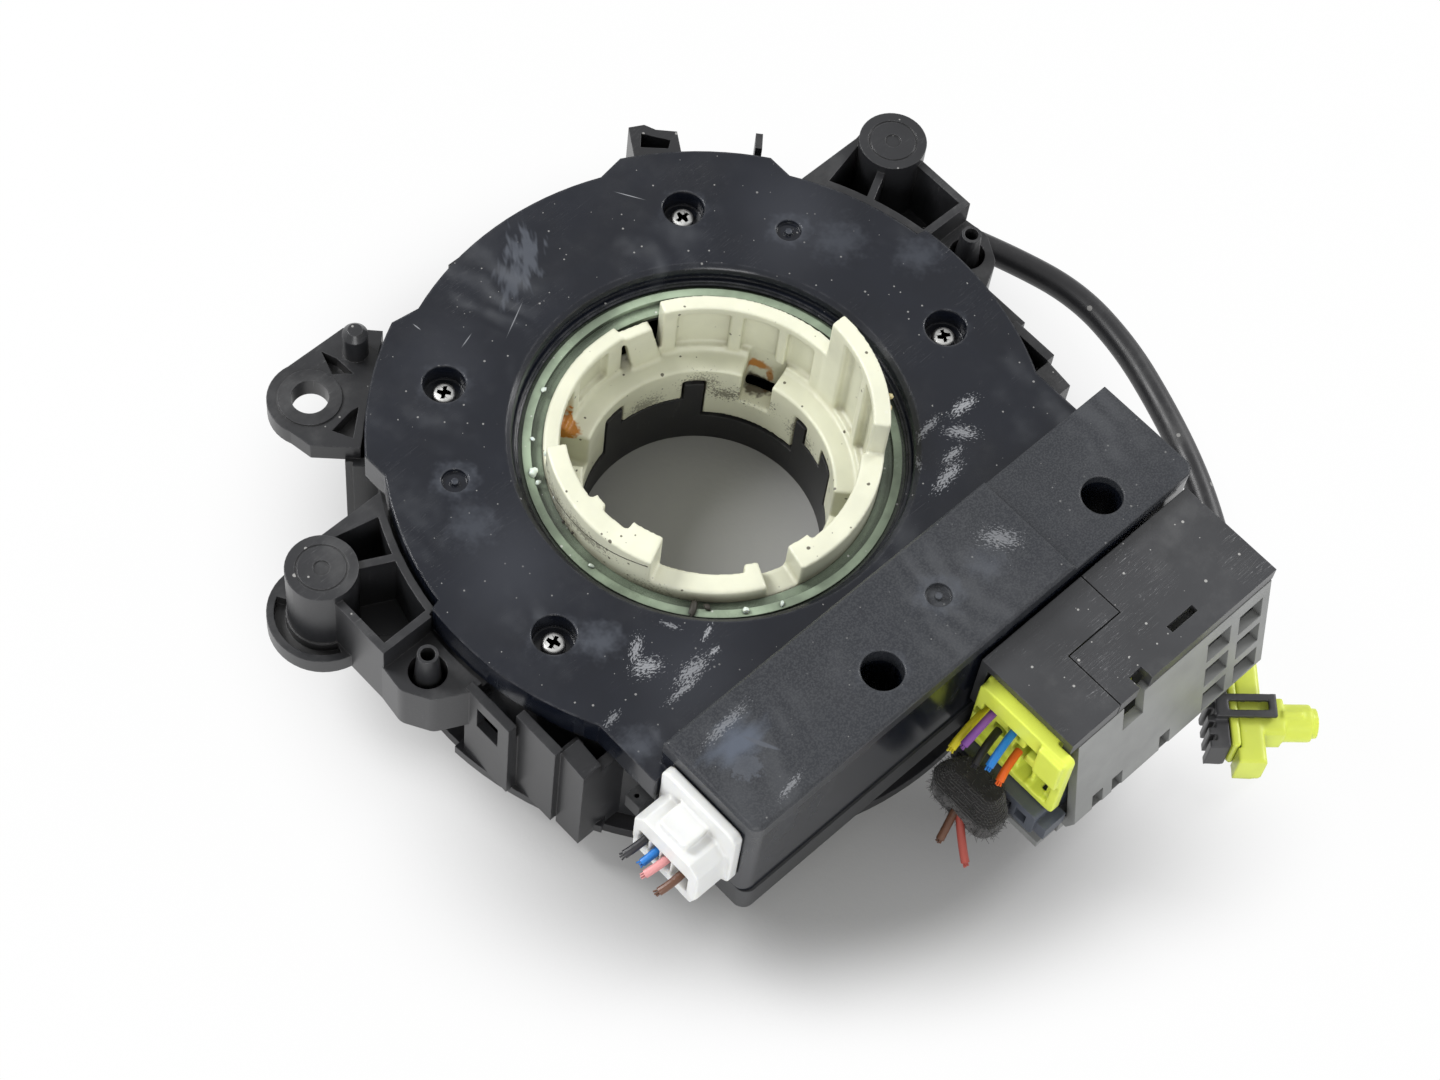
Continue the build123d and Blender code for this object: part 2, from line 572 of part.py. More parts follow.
def lead_direction():
    start, nxt = Vector(*LEAD_ROUTE[0]), Vector(*LEAD_ROUTE[1])
    return (nxt - start).normalized()


def lead_saddle():
    """Saddle on the drum wall that clasps the lead's grommet."""
    start = Vector(*LEAD_ROUTE[0])
    along = lead_direction()
    middle = start - along * (GROMMET_LENGTH * 0.55)
    angle = math.degrees(math.atan2(middle.Y, middle.X))
    reach = math.hypot(middle.X, middle.Y) + GROMMET_R + 1.2
    saddle = Rot(0, 0, angle) * block(DRUM_R - 1, reach, -2.6, 2.6, DRUM_Z, middle.Z + GROMMET_R + 1.2)
    return saddle


def lead_grommet():
    """Rubber sleeve with stepped rings where the lead leaves the housing."""
    start = Vector(*LEAD_ROUTE[0])
    along = lead_direction()
    plane = Plane(origin=start - along * GROMMET_LENGTH, z_dir=along)
    body = plane * Pos(0, 0, GROMMET_LENGTH / 2) * Cylinder(GROMMET_R - 0.6, GROMMET_LENGTH)
    for place in (0.8, GROMMET_LENGTH * 0.8, GROMMET_LENGTH * 0.93):
        body += plane * Pos(0, 0, place) * Cylinder(GROMMET_R, 1.2)
    return body


def lead_path():
    points = [Vector(*point) for point in LEAD_ROUTE]
    radii = []
    for before, here, after in zip(points, points[1:], points[2:]):
        run_in, run_out = here - before, after - here
        half_turn = math.radians(run_in.get_angle(run_out)) / 2
        radii.append(0.45 * min(run_in.length, run_out.length) / math.tan(half_turn))
    print("lead radii", [round(radius, 1) for radius in radii])
    return FilletPolyline(*points, radius=radii)


def lead_sheath():
    """Sheathed lead to the airbag plugs, lying beside the ring."""
    path = lead_path()
    section = Plane(origin=path @ 0, z_dir=path % 0) * Circle(LEAD_R)
    tube = sweep(section, path=path)
    expected = math.pi * LEAD_R ** 2 * path.length
    print("lead length", round(path.length, 1), "volume ratio", round(tube.volume / expected, 4))
    return tube


def involute(angle):
    return math.tan(angle) - angle


def gear_outline(teeth, phase):
    """Spur gear outline with involute flanks and the given angle of its first tooth."""
    pitch_r = MODULE * teeth / 2
    base_r = pitch_r * math.cos(math.radians(PRESSURE))
    root_r = pitch_r - 1.25 * MODULE
    tip_r = pitch_r + 0.9 * MODULE
    half_pitch = math.pi / (2 * teeth) - BACKLASH / (4 * pitch_r)
    stations = [max(root_r, 0.001), pitch_r, tip_r]

    def half_width(radius):
        flank = math.acos(min(1.0, base_r / max(radius, base_r)))
        return half_pitch + involute(math.radians(PRESSURE)) - involute(flank)

    points = []
    for index in range(teeth):
        centre = math.radians(phase) + 2 * math.pi * index / teeth
        rise = [(radius, centre - half_width(radius)) for radius in stations]
        fall = [(radius, centre + half_width(radius)) for radius in reversed(stations)]
        for radius, angle in rise + fall:
            points.append((radius * math.cos(angle), radius * math.sin(angle)))
    return make_face(Polyline(*points, close=True))


def pinion_place(name):
    distance = ring_pitch_r + MODULE * PINION_TEETH[name] / 2
    return polar(distance, PINION_PITCHES[name] * 360 / RING_TEETH)


def ring_gear():
    """Gear ring carried on the rotor collar; its greased rim shows inside the cover."""
    teeth = Pos(0, 0, gear_z) * extrude(gear_outline(RING_TEETH, 0), GEAR_T)
    gear = teeth + ring(RING_RIM_IN_R, RING_RIM_R, gear_z, gear_z + RING_RIM_T)
    gear -= disc(0, 0, RING_RIM_IN_R, gear_z + RING_WEB_T, gear_z + RING_RIM_T + 1)
    return gear - disc(0, 0, COLLAR_R + 0.05, gear_z - 1, gear_z + 5)


def pinion(name):
    """Small gear with a pocket for its magnet, turning on a pin of the base."""
    x, y = pinion_place(name)
    teeth = PINION_TEETH[name]
    facing = PINION_PITCHES[name] * 360 / RING_TEETH + 180 + 180 / teeth
    gear = Pos(x, y, gear_z) * extrude(gear_outline(teeth, facing), GEAR_T)
    gear += disc(x, y, MODULE * teeth / 2 - 2.0, gear_z, gear_z + PINION_T)
    gear -= disc(x, y, MAGNET_R, gear_z + PINION_T - MAGNET_T, gear_z + PINION_T + 1)
    return gear - disc(x, y, PINION_PIN_R + PINION_PLAY, gear_z - 1, gear_z + PINION_T)


def magnet(name):
    x, y = pinion_place(name)
    return disc(x, y, MAGNET_R, gear_z + PINION_T - MAGNET_T, gear_z + PINION_T)


def join_steps():
    """The stretches of the castellated joint: start, end and height of each."""
    starts = JOIN_STARTS + [(JOIN_STARTS[0][0] + 360, JOIN_LOW)]
    return [(start, end, height) for (start, height), (end, following) in zip(starts, starts[1:])]


def rotor_hub():
    """Wheel-side plate, column tube with its castellated top, and cable drum, one moulding."""
    hub = ring(COLUMN_BORE_R, PLATE_R, 0, PLATE_T)
    hub += ring(CABLE_DRUM_R - CABLE_DRUM_WALL, CABLE_DRUM_R, PLATE_T - 0.5, DECK_TOP - 2.0)
    tube = ring(COLUMN_BORE_R, HUB_TUBE_R, PLATE_T - 0.5, JOIN_TOOTH - JOIN_SLIT)
    spread = math.degrees(JOIN_SIDE_GAP / HUB_TUBE_R)
    for start, end, height in join_steps():
        if height < JOIN_TOOTH:
            top = height - (JOIN_GAP if height == JOIN_STEP else JOIN_SLIT)
            tube -= sector(COLUMN_BORE_R - 2, HUB_TUBE_R + 2, top, JOIN_TOOTH, start - spread, end + spread)
    hub += tube
    for angle in range(0, 360, 45):
        hub -= Rot(0, 0, angle) * sector(33.0, PLATE_R - 3.0, -1, 1.0, 2.5, 42.5)
    for angle in (90, 270):
        x, y = polar(CABLE_DRUM_R - 4.0, angle)
        hub -= disc(x, y, 1.6, -1, PLATE_T + 1)
    return hub


def snap_finger():
    """Slanting tongue in the gap between the collar's walls."""
    outline = [(-3.6, LEDGE_Z - 0.3), (1.7, LEDGE_Z - 0.3), (3.6, SNAP_FINGER_TOP), (-1.2, SNAP_FINGER_TOP)]
    across, along = polar(COLLAR_IN_R - 0.9, 74.5)
    plane = Plane(origin=(across, along, 0), x_dir=(-along, across, 0), z_dir=(across, along, 0))
    return plane * extrude(make_face(Polyline(*outline, close=True)), 2.0)


def rotor_collar():
    """Cream collar: ledge over the hub's teeth, walls of several heights and a tall finger."""
    inside = COLLAR_LOW_R - 2
    over = FINGER_TOP + 1
    collar = ring(COLLAR_LOW_R, COLLAR_R, COLLAR_SKIRT_Z, FINGER_TOP)
    collar += ring(COLLAR_LOW_R, HUB_TUBE_R, JOIN_LOW, COLLAR_SKIRT_Z)
    for start, end, height, r_in in COLLAR_WALLS:
        collar -= sector(inside, r_in, LEDGE_Z, over, start, end)
        if height < FINGER_TOP:
            collar -= sector(inside, COLLAR_R + 2, height, over, start, end)
    collar -= sector(inside, COLLAR_R + 2, LEDGE_Z, over, 66, 83)
    for start, end in COLLAR_PANELS:
        wall_top = min(height for first, last, height, r_in in COLLAR_WALLS if first <= end and start <= last)
        collar -= sector(COLLAR_IN_R - 1, COLLAR_R - 1.3, LEDGE_Z + 0.8, wall_top - 1.8, start, end)
    for start, end in COLLAR_WINDOWS:
        collar -= sector(inside, COLLAR_R - 1.2, JOIN_STEP + 0.6, LEDGE_Z + 1, start, end)
    for start, end, height in join_steps():
        if height > JOIN_LOW:
            collar -= sector(inside, HUB_TUBE_R + JOIN_GAP, JOIN_LOW - 1, height, start, end)
    return collar + snap_finger()


def spiral_cable():
    """Flat cable wound between the rotor's drum and the housing wall."""
    turns = 4
    steps = 20
    start_r = CABLE_DRUM_R + 1.6
    pitch = (DRUM_R - DRUM_WALL - 1.8 - start_r) / turns
    thick = 0.3

    def station(index, offset):
        return polar(start_r + pitch * index / steps + offset, 360 / steps * index)

    outer = [station(index, thick / 2) for index in range(turns * steps + 1)]
    inner = [station(index, -thick / 2) for index in range(turns * steps + 1)]
    return prism(outer + inner[::-1], DRUM_Z + 0.5, DECK_TOP - 1.9)


def connector_base():
    """Grey lower half of the connector block, with its sloping slotted side."""
    x0, x1 = BLOCK_X0 + 2.0, BLOCK_X1 - 0.2
    foot_y = BLOCK_Y0 - BLOCK_BULGE
    low, high = BLOCK_FLOOR_Z, BLOCK_TOP - 3.2
    side_outline = [
        (BLOCK_Y0 - 0.1, high), (foot_y, low + 3.0), (foot_y + 1.2, low),
        (foot_y + 3.0, low), (foot_y + 1.8, low + 3.2), (BLOCK_Y0 + 1.6, high),
    ]
    side = side_prism(side_outline, x0, x1)
    floor = block(x0, x1, foot_y + 1.4, BLOCK_Y1 - 0.3, BLOCK_FLOOR_Z, BLOCK_FLOOR_Z + 1.8)
    back = block(x0, x1, BLOCK_Y1 - 1.9, BLOCK_Y1 - 0.3, BLOCK_FLOOR_Z, 22.0)
    end_outline = [
        (BLOCK_Y0 + 0.5, high - 0.2), (foot_y + 0.6, low + 2.8), (foot_y + 1.8, low),
        (BLOCK_Y1 - 0.3, low), (BLOCK_Y1 - 0.3, 22.0),
    ]
    end = side_prism(end_outline, x1 - 1.6, x1)
    base = side + floor + back + end
    base += block(x0, 20.0, foot_y + 2.4, BLOCK_Y1 - 4.0, 5.6, BLOCK_FLOOR_Z + 0.5)
    base += block(BLOCK_X0 - 2.4, x0 + 1, foot_y + 2.8, BLOCK_Y1 - 12.0, 5.6, 7.2)
    for column in range(2):
        for row in range(3):
            x = 34.0 + 7.4 * column
            z = 13.0 + 6.6 * row
            base -= block(x, x + 5.4, foot_y - 2, BLOCK_Y0 + 2.4, z, z + 4.8)
    for x in (8.5, 13.0, 24.0):
        base -= block(x, x + 2.4, foot_y - 2, BLOCK_Y0 - 0.8, BLOCK_FLOOR_Z + 2.2, BLOCK_FLOOR_Z + 6.6)
    base -= block(14.6, 19.2, BLOCK_Y0 - 2, BLOCK_Y0 + 2.4, 28.0, BLOCK_TOP - 1)
    return base


def connector_hood():
    """Left half of the block's black lid, over the two plugs."""
    seam_gap = 0.25
    lid = block(BLOCK_X0, HOOD_X_INNER - seam_gap, HOOD_SEAM_Y, BLOCK_Y1, 24.0, BLOCK_TOP)
    lid += block(BLOCK_X0, HOOD_X_OUTER - seam_gap, BLOCK_Y0, HOOD_SEAM_Y, 24.0, BLOCK_TOP)
    x0, x1 = BLOCK_X0 - 1, HOOD_X_INNER + 1
    y0, y1 = BLOCK_Y0 + BLOCK_WALL, BLOCK_Y1 - BLOCK_WALL
    lid -= block(x0, x1, y0, y1, 23.0, BLOCK_TOP - BLOCK_WALL)
    return lid - block(x0, x1, BLOCK_Y0 - 1, y0 + 1, 23.0, BLOCK_TOP - 3.0)


def connector_block():
    """Right half of the block's black lid, with a slot and a latch notch."""
    lid = block(HOOD_X_INNER, BLOCK_X1, BLOCK_Y0, BLOCK_Y1, 22.4, BLOCK_TOP)
    lid += block(HOOD_X_OUTER, HOOD_X_INNER, BLOCK_Y0, HOOD_SEAM_Y - 0.25, 22.4, BLOCK_TOP)
    x0 = HOOD_X_OUTER - 1
    y0, y1 = BLOCK_Y0 + BLOCK_WALL, BLOCK_Y1 - BLOCK_WALL
    lid -= block(x0, BLOCK_X1 - BLOCK_WALL, y0, y1, 21.0, BLOCK_TOP - BLOCK_WALL)
    lid -= block(x0, BLOCK_X1 + 1, BLOCK_Y0 - 1, y0 + 1, 21.0, BLOCK_TOP - 3.0)
    lid -= block(BLOCK_X1 - BLOCK_WALL - 1, BLOCK_X1 + 1, BLOCK_Y0 - 1, BLOCK_Y1 + 1, 21.0, BLOCK_TOP - 3.0)
    lid -= block(28.2, 34.0, -72.6, -71.3, BLOCK_TOP - 3, BLOCK_TOP + 1)
    lid -= block(17.4, 20.2, BLOCK_Y0 - 1, -73.4, BLOCK_TOP - 4, BLOCK_TOP + 1)
    return lid


def airbag_plug():
    """Yellow plug in the block's open end: body, top bar and ribbed wire cavities."""
    y0, y1, z0, z1 = -77.4, -58.6, 17.6, 34.6
    face = 0.6
    body = block(face + 1.7, 19.0, BLOCK_Y0 + 2.4, y1, z0, z1)
    front = block(face, face + 1.8, y0, y1, z0, z1)
    front = fillet(front.edges().filter_by(Axis.X), 1.2)
    front -= block(face - 1, face + 1.4, y0 + 1.6, y1 - 1.6, z0 + 1.6, z1 - 4.4)
    plug = body + front
    for start, middle, end in AIRBAG_WIRES.values():
        plug -= block(face - 1, face + 7.0, start[1] - 1.2, start[1] + 1.2, start[2] - 1.3, start[2] + 1.3)
    for y in (y0 + 4.2, y0 + 7.6):
        for z in (z0 + 3.0, z0 + 8.2):
            plug -= block(face - 1, face + 7.0, y - 1.3, y + 1.3, z - 1.6, z + 1.6)
    plug += block(face - 1.0, face + 2.0, y0 + 0.6, y0 + 5.4, z0 + 9.0, z1 - 0.6)
    return plug


def switch_plug():
    """Slate-grey plug below the yellow one."""
    plug = block(-1.6, 17.0, -76.4, -58.6, BLOCK_FLOOR_Z + 2.2, 17.2)
    plug = fillet(plug.edges().filter_by(Axis.X), 0.8)
    plug += block(-1.0, 3.6, -78.4, -66.0, BLOCK_FLOOR_Z + 2.6, 15.4)
    for column in range(5):
        y = -73.6 + 3.2 * column
        plug -= block(-3, 5.0, y - 1.1, y + 1.1, 12.8, 15.4)
    return plug


def tape_bundle():
    """Fabric-taped stump of the cut harness, pushed up against the grey plug."""
    rounds = [(8.0, 4.4, 10.0), (10.5, 6.6, 13.4), (15.0, 6.8, 14.0), (18.6, 4.0, 9.0)]
    sections = [
        Pos(-1.7 - width / 2, -66.0, z) * RectangleRounded(width, length, width * 0.45)
        for z, width, length in rounds
    ]
    return loft(sections, ruled=True)


AIRBAG_WIRES = {
    "purple": ((2.0, -61.9, 29.0), (-2.2, -62.4, 29.4), (-6.6, -62.6, 27.6)),
    "yellow": ((2.0, -60.2, 26.4), (-3.0, -60.6, 27.0), (-7.6, -61.4, 26.0)),
    "black": ((2.0, -63.4, 24.0), (-2.0, -64.0, 24.2), (-5.4, -65.2, 22.8)),
    "blue": ((2.0, -65.9, 27.0), (-1.8, -66.6, 27.2), (-5.2, -67.4, 25.4)),
    "orange": ((2.0, -67.9, 23.6), (-1.2, -68.4, 23.8), (-4.4, -69.6, 22.4)),
}
SENSOR_WIRES = {
    "black": ((-51.0, -41.3, 26.2), (-54.0, -41.4, 26.0), (-57.0, -40.6, 25.0)),
    "blue": ((-51.0, -43.6, 25.2), (-53.6, -43.6, 25.0), (-55.6, -43.2, 24.2)),
    "pink": ((-51.0, -45.9, 26.2), (-54.0, -45.8, 26.0), (-56.8, -45.0, 25.0)),
    "brown": ((-51.0, -48.8, 25.2), (-53.8, -49.0, 25.0), (-56.8, -48.2, 24.0)),
}
SWITCH_WIRES = {
    "brown": ((-9.3, -66.0, 12.0), (-10.6, -66.8, 11.4), (-13.2, -67.6, 10.0)),
    "red": ((-9.3, -68.6, 11.2), (-10.6, -70.6, 10.4), (-12.0, -73.2, 8.6)),
}


def wire(points):
    """Short stub of insulated wire, bent once."""
    path = FilletPolyline(*points, radius=3.0)
    section = Plane(origin=path @ 0, z_dir=path % 0) * Circle(WIRE_R)
    return sweep(section, path=path)


def sensor_plug():
    """White four-way plug with its flange and raised latch."""
    flange = block(BOX_X0 - 2.0, BOX_X0 - 0.2, -53.8, -38.0, 22.0, 37.6)
    flange = fillet(flange.edges().filter_by(Axis.X), 1.6)
    nose = block(BOX_X0 - 0.3, BOX_X0 + 5.0, -52.7, -38.5, 22.2, 36.2)
    nose -= block(BOX_X0 + 0.5, BOX_X0 + 6.0, -51.7, -39.5, 24.6, 30.0)
    outline = [
        (-51.8, 20.8), (-53.0, 24.0), (-52.6, 30.6), (-50.6, 32.4),
        (-40.6, 32.4), (-38.8, 30.2), (-39.0, 21.4),
    ]
    body = side_prism(outline, -52.6, BOX_X0 - 1.8)
    latch = block(-51.6, BOX_X0 - 1.9, -48.6, -42.6, 32.2, 34.2)
    latch = fillet(latch.edges().filter_by(Axis.Z), 0.8)
    plug = flange + nose + body + latch
    plug -= block(-54, -50.4, -50.8, -40.2, 23.2, 27.8)
    for y in (-42.6, -44.9, -47.4):
        plug += block(-52.6, -50.3, y, y + 0.4, 23.0, 28.0)
    return plug


def placed(shape):
    x, y, angle = SQUIB_PLACE
    return Pos(x, y, 0) * Rot(0, 0, angle) * shape


def lead_pocket():
    """Hole in the end of the plug's bar that takes the lead."""
    return Pos(0, SQUIB_BAR, LEAD_ROUTE[-1][2]) * Rot(90, 0, 0) * Cylinder(LEAD_R + 0.05, 6.0)


def squib_plug():
    """Right-angle airbag plug on its side: bar with the wires, stepped nose and round tip."""
    bar = block(-SQUIB_HALF, SQUIB_HALF, -SQUIB_FOOT, SQUIB_BAR, 0.0, SQUIB_H)
    bar = fillet(bar.edges().filter_by(Axis.Y), 0.8)
    bar -= block(-SQUIB_HALF - 1, -1.3, -6.4, SQUIB_BAR + 1, -1, SQUIB_H + 1)
    bar -= block(-SQUIB_HALF - 1, -1.9, -SQUIB_FOOT - 1, -6.0, -1, SQUIB_H + 1)
    head = block(1.0, 6.4, -3.7, 2.9, 0.3, SQUIB_H - 0.2)
    head = fillet(head.edges().filter_by(Axis.X), 0.9)
    middle = SQUIB_H / 2
    tip = Pos(8.6, -0.4, middle) * Rot(0, 90, 0) * Cylinder(3.1, 5.0)
    end = Pos(11.5, -0.4, middle) * Rot(0, 90, 0) * Cylinder(2.5, 1.4)
    rib = block(6.0, 9.4, -1.0, 0.2, middle, SQUIB_H + 0.2)
    plug = bar + head + tip + end + rib
    return placed(plug - lead_pocket())


def squib_cover():
    """Yellow cover snapped over the wires along the bar's back."""
    cover = block(-SQUIB_HALF, -1.35, -6.3, SQUIB_BAR - 0.6, 0.4, SQUIB_H + 0.3)
    cover = fillet(cover.edges().filter_by(Axis.Z).group_by(Axis.Y)[0], 0.7)
    cover -= block(-SQUIB_HALF - 1, 0, -4.6, 4.6, -0.1, SQUIB_H - 1.1)
    return placed(cover - lead_pocket())


def squib_lock():
    """Black lock clip pushed over the plug: ribbed back, loop on top and a side prong."""
    clip = block(-5.2, -3.0, -6.4, 4.4, 0.0, SQUIB_H)
    for index in range(5):
        y = -6.4 + 2.3 * index
        clip += block(-6.4, -5.0, y, y + 1.3, 0.0, SQUIB_H)
    top = SQUIB_H + 0.4
    clip += block(-5.2, 4.0, 1.5, 2.7, top, top + 0.9)
    clip += block(-5.2, 4.0, -1.4, -0.2, top, top + 0.9)
    clip += block(3.6, 4.9, -1.4, 2.7, top, top + 0.9)
    clip += block(-5.2, -3.0, -1.4, 2.7, SQUIB_H - 0.5, top + 0.9)
    clip += block(-3.2, -1.5, -3.6, 3.6, 2.2, 4.4)
    return placed(clip)


nodes = {
    "sensor_cover": sensor_cover(),
    "sensor_base": sensor_base(),
    "sensor_board": sensor_board(),
    "board_components": board_components(),
    "terminal_pins": terminal_pins(),
    "cover_screws": cover_screws(),
    "stator_housing": stator_housing(),
    "spiral_cable": spiral_cable(),
    "rotor_hub": rotor_hub(),
    "rotor_collar": rotor_collar(),
    "ring_gear": ring_gear(),
    "connector_base": connector_base(),
    "connector_block": connector_block(),
    "connector_hood": connector_hood(),
    "airbag_plug": airbag_plug(),
    "switch_plug": switch_plug(),
    "tape_bundle": tape_bundle(),
    "sensor_plug": sensor_plug(),
    "lead_grommet": lead_grommet(),
    "lead_sheath": lead_sheath(),
    "squib_plug": squib_plug(),
    "squib_lock": squib_lock(),
    "squib_cover": squib_cover(),
}
for name in PINION_TEETH:
    nodes["pinion_" + name] = pinion(name)
    nodes["magnet_" + name] = magnet(name)
for colour, points in AIRBAG_WIRES.items():
    nodes["airbag_wire_" + colour] = wire(points)
for colour, points in SENSOR_WIRES.items():
    nodes["sensor_wire_" + colour] = wire(points)
for colour, points in SWITCH_WIRES.items():
    nodes["switch_wire_" + colour] = wire(points)

for name, shape in nodes.items():
    solids = shape if isinstance(shape, list) else [shape]
    pieces = [solid for item in solids for solid in item.solids()]
    export_step(Compound(children=pieces), "parts/" + name + ".step")
    print(name, len(pieces), round(sum(piece.volume for piece in pieces), 1))
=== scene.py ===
"""Looks of a steering clock spring: finishes, wires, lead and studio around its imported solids."""

import logging
import math
import random
from dataclasses import dataclass, field
from enum import Enum
from typing import Dict, List, Optional, Sequence, Tuple, Union

import bmesh
import bpy
from mathutils import Matrix, Vector, noise

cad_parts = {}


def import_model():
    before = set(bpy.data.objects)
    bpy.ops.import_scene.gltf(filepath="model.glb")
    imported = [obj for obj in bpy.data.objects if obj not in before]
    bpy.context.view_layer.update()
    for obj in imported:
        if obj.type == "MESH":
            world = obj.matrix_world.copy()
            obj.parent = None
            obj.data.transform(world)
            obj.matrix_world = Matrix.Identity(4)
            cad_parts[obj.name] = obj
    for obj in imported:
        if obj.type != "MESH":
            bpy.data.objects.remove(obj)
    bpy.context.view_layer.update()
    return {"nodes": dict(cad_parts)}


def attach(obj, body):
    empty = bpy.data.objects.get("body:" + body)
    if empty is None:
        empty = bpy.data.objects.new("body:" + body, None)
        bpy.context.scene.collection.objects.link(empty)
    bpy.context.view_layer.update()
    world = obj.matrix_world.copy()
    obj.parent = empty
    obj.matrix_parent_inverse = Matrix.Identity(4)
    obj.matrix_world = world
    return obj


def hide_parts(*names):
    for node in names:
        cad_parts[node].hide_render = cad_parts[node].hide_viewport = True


LOG = logging.getLogger("clock_spring")
MM = 0.001
SEED = 7

Colour = Tuple[float, float, float]
Point = Tuple[float, float, float]
Value = Union[float, bpy.types.NodeSocket]
Sockets = bpy.types.bpy_prop_collection
VECTOR_SOCKETS = ("Normal", "Where")

DUST_FILM = (0.42, 0.42, 0.41)
DUST_SPECK = (0.72, 0.71, 0.68)
SCRATCHED = (0.45, 0.45, 0.46)
DARK_GRIT = (0.035, 0.024, 0.012)
WIPED = (0.40, 0.43, 0.47)
TARNISH = (0.10, 0.09, 0.08)
TAPE_LINT = (0.16, 0.13, 0.11)


class Effect(Enum):
    """Shared surface effects, each one node group."""

    EDGE = "edge wear"
    DUST = "dust"
    SCRATCH = "scratches"
    GRAIN = "moulded grain"
    SMUDGE = "wiped smudges"
    MARK = "local mark"


class Body(Enum):
    """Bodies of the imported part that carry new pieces."""

    STATOR = "stator"
    ROTOR = "rotor"


class Graph:
    """Adds, feeds and links the nodes of one shader tree."""

    def __init__(self, tree: bpy.types.NodeTree) -> None:
        """Keeps the tree that the nodes go into."""
        self.tree = tree

    def feed(self, socket: bpy.types.NodeSocket, value: Value) -> None:
        """Links a socket's value, or sets it where it is a plain number or colour.

        Args:
            socket: the input to feed.
            value: an output socket, a number or a sequence.
        """
        if isinstance(value, bpy.types.NodeSocket):
            self.tree.links.new(value, socket)
        elif isinstance(value, (tuple, list)) and len(value) == 3 and socket.type == "RGBA":
            socket.default_value = (*value, 1.0)
        else:
            socket.default_value = value

    def node(
        self, kind: str, inputs: Optional[Dict[str, Value]] = None, **settings: object
    ) -> bpy.types.Node:
        """Adds a node.

        Args:
            kind: the node's type without its ShaderNode prefix.
            inputs: values by input name.
            settings: the node's own properties.

        Returns:
            The new node.
        """
        made = self.tree.nodes.new("ShaderNode" + kind)
        for key, value in settings.items():
            setattr(made, key, value)
        for key, value in (inputs or {}).items():
            self.feed(made.inputs[key], value)
        return made

    def math(self, operation: str, first: Value, second: Value = 0.0) -> bpy.types.NodeSocket:
        """One arithmetic step.

        Args:
            operation: the Math node's operation.
            first: first operand.
            second: second operand.

        Returns:
            The result's socket.
        """
        made = self.node("Math", operation=operation)
        self.feed(made.inputs[0], first)
        self.feed(made.inputs[1], second)
        return made.outputs[0]

    def vector(self, operation: str, first: Value, second: Value) -> bpy.types.NodeSocket:
        """One step of vector arithmetic, as the socket of its vector."""
        made = self.node("VectorMath", operation=operation)
        self.feed(made.inputs[0], first)
        self.feed(made.inputs[1], second)
        return made.outputs[0]

    def between(self, value: Value, low: Value, high: Value) -> bpy.types.NodeSocket:
        """Maps a value smoothly from low..high to 0..1.

        Args:
            value: what is mapped.
            low: value that gives 0.
            high: value that gives 1.

        Returns:
            The result's socket.
        """
        made = self.node("MapRange", interpolation_type="SMOOTHSTEP")
        for index, item in enumerate((value, low, high, 0.0, 1.0)):
            self.feed(made.inputs[index], item)
        return made.outputs[0]

    def scaled(self, value: Value, factor: Value) -> bpy.types.NodeSocket:
        """A value times a factor."""
        return self.math("MULTIPLY", value, factor)

    def layer(
        self, base: Value, mask: Value, strength: float, color: Sequence[float]
    ) -> bpy.types.NodeSocket:
        """Lays a colour over a base where a mask is, at a given strength."""
        return self.blend(self.scaled(mask, strength), base, color)

    def blend(self, factor: Value, first: Value, second: Value) -> bpy.types.NodeSocket:
        """Mixes two colours.

        Args:
            factor: share of the second colour.
            first: colour at 0.
            second: colour at 1.

        Returns:
            The mixed colour's socket.
        """
        made = self.node("Mix", data_type="RGBA")
        self.feed(made.inputs[0], factor)
        self.feed(made.inputs[6], first)
        self.feed(made.inputs[7], second)
        return made.outputs[2]

    def noise(
        self, where: Value, scale: Value, detail: float = 3.0, rough: float = 0.55
    ) -> bpy.types.NodeSocket:
        """Plain noise value at the given scale per metre."""
        inputs = {"Vector": where, "Scale": scale, "Detail": detail, "Roughness": rough}
        return self.node("TexNoise", inputs).outputs[0]

    def turned(self, where: Value, angle: float, stretch: Point) -> bpy.types.NodeSocket:
        """Coordinates turned about Z by an angle in degrees and stretched."""
        made = self.node("Mapping", {"Vector": where})
        made.inputs["Rotation"].default_value = (0.0, 0.0, math.radians(angle))
        made.inputs["Scale"].default_value = stretch
        return made.outputs[0]


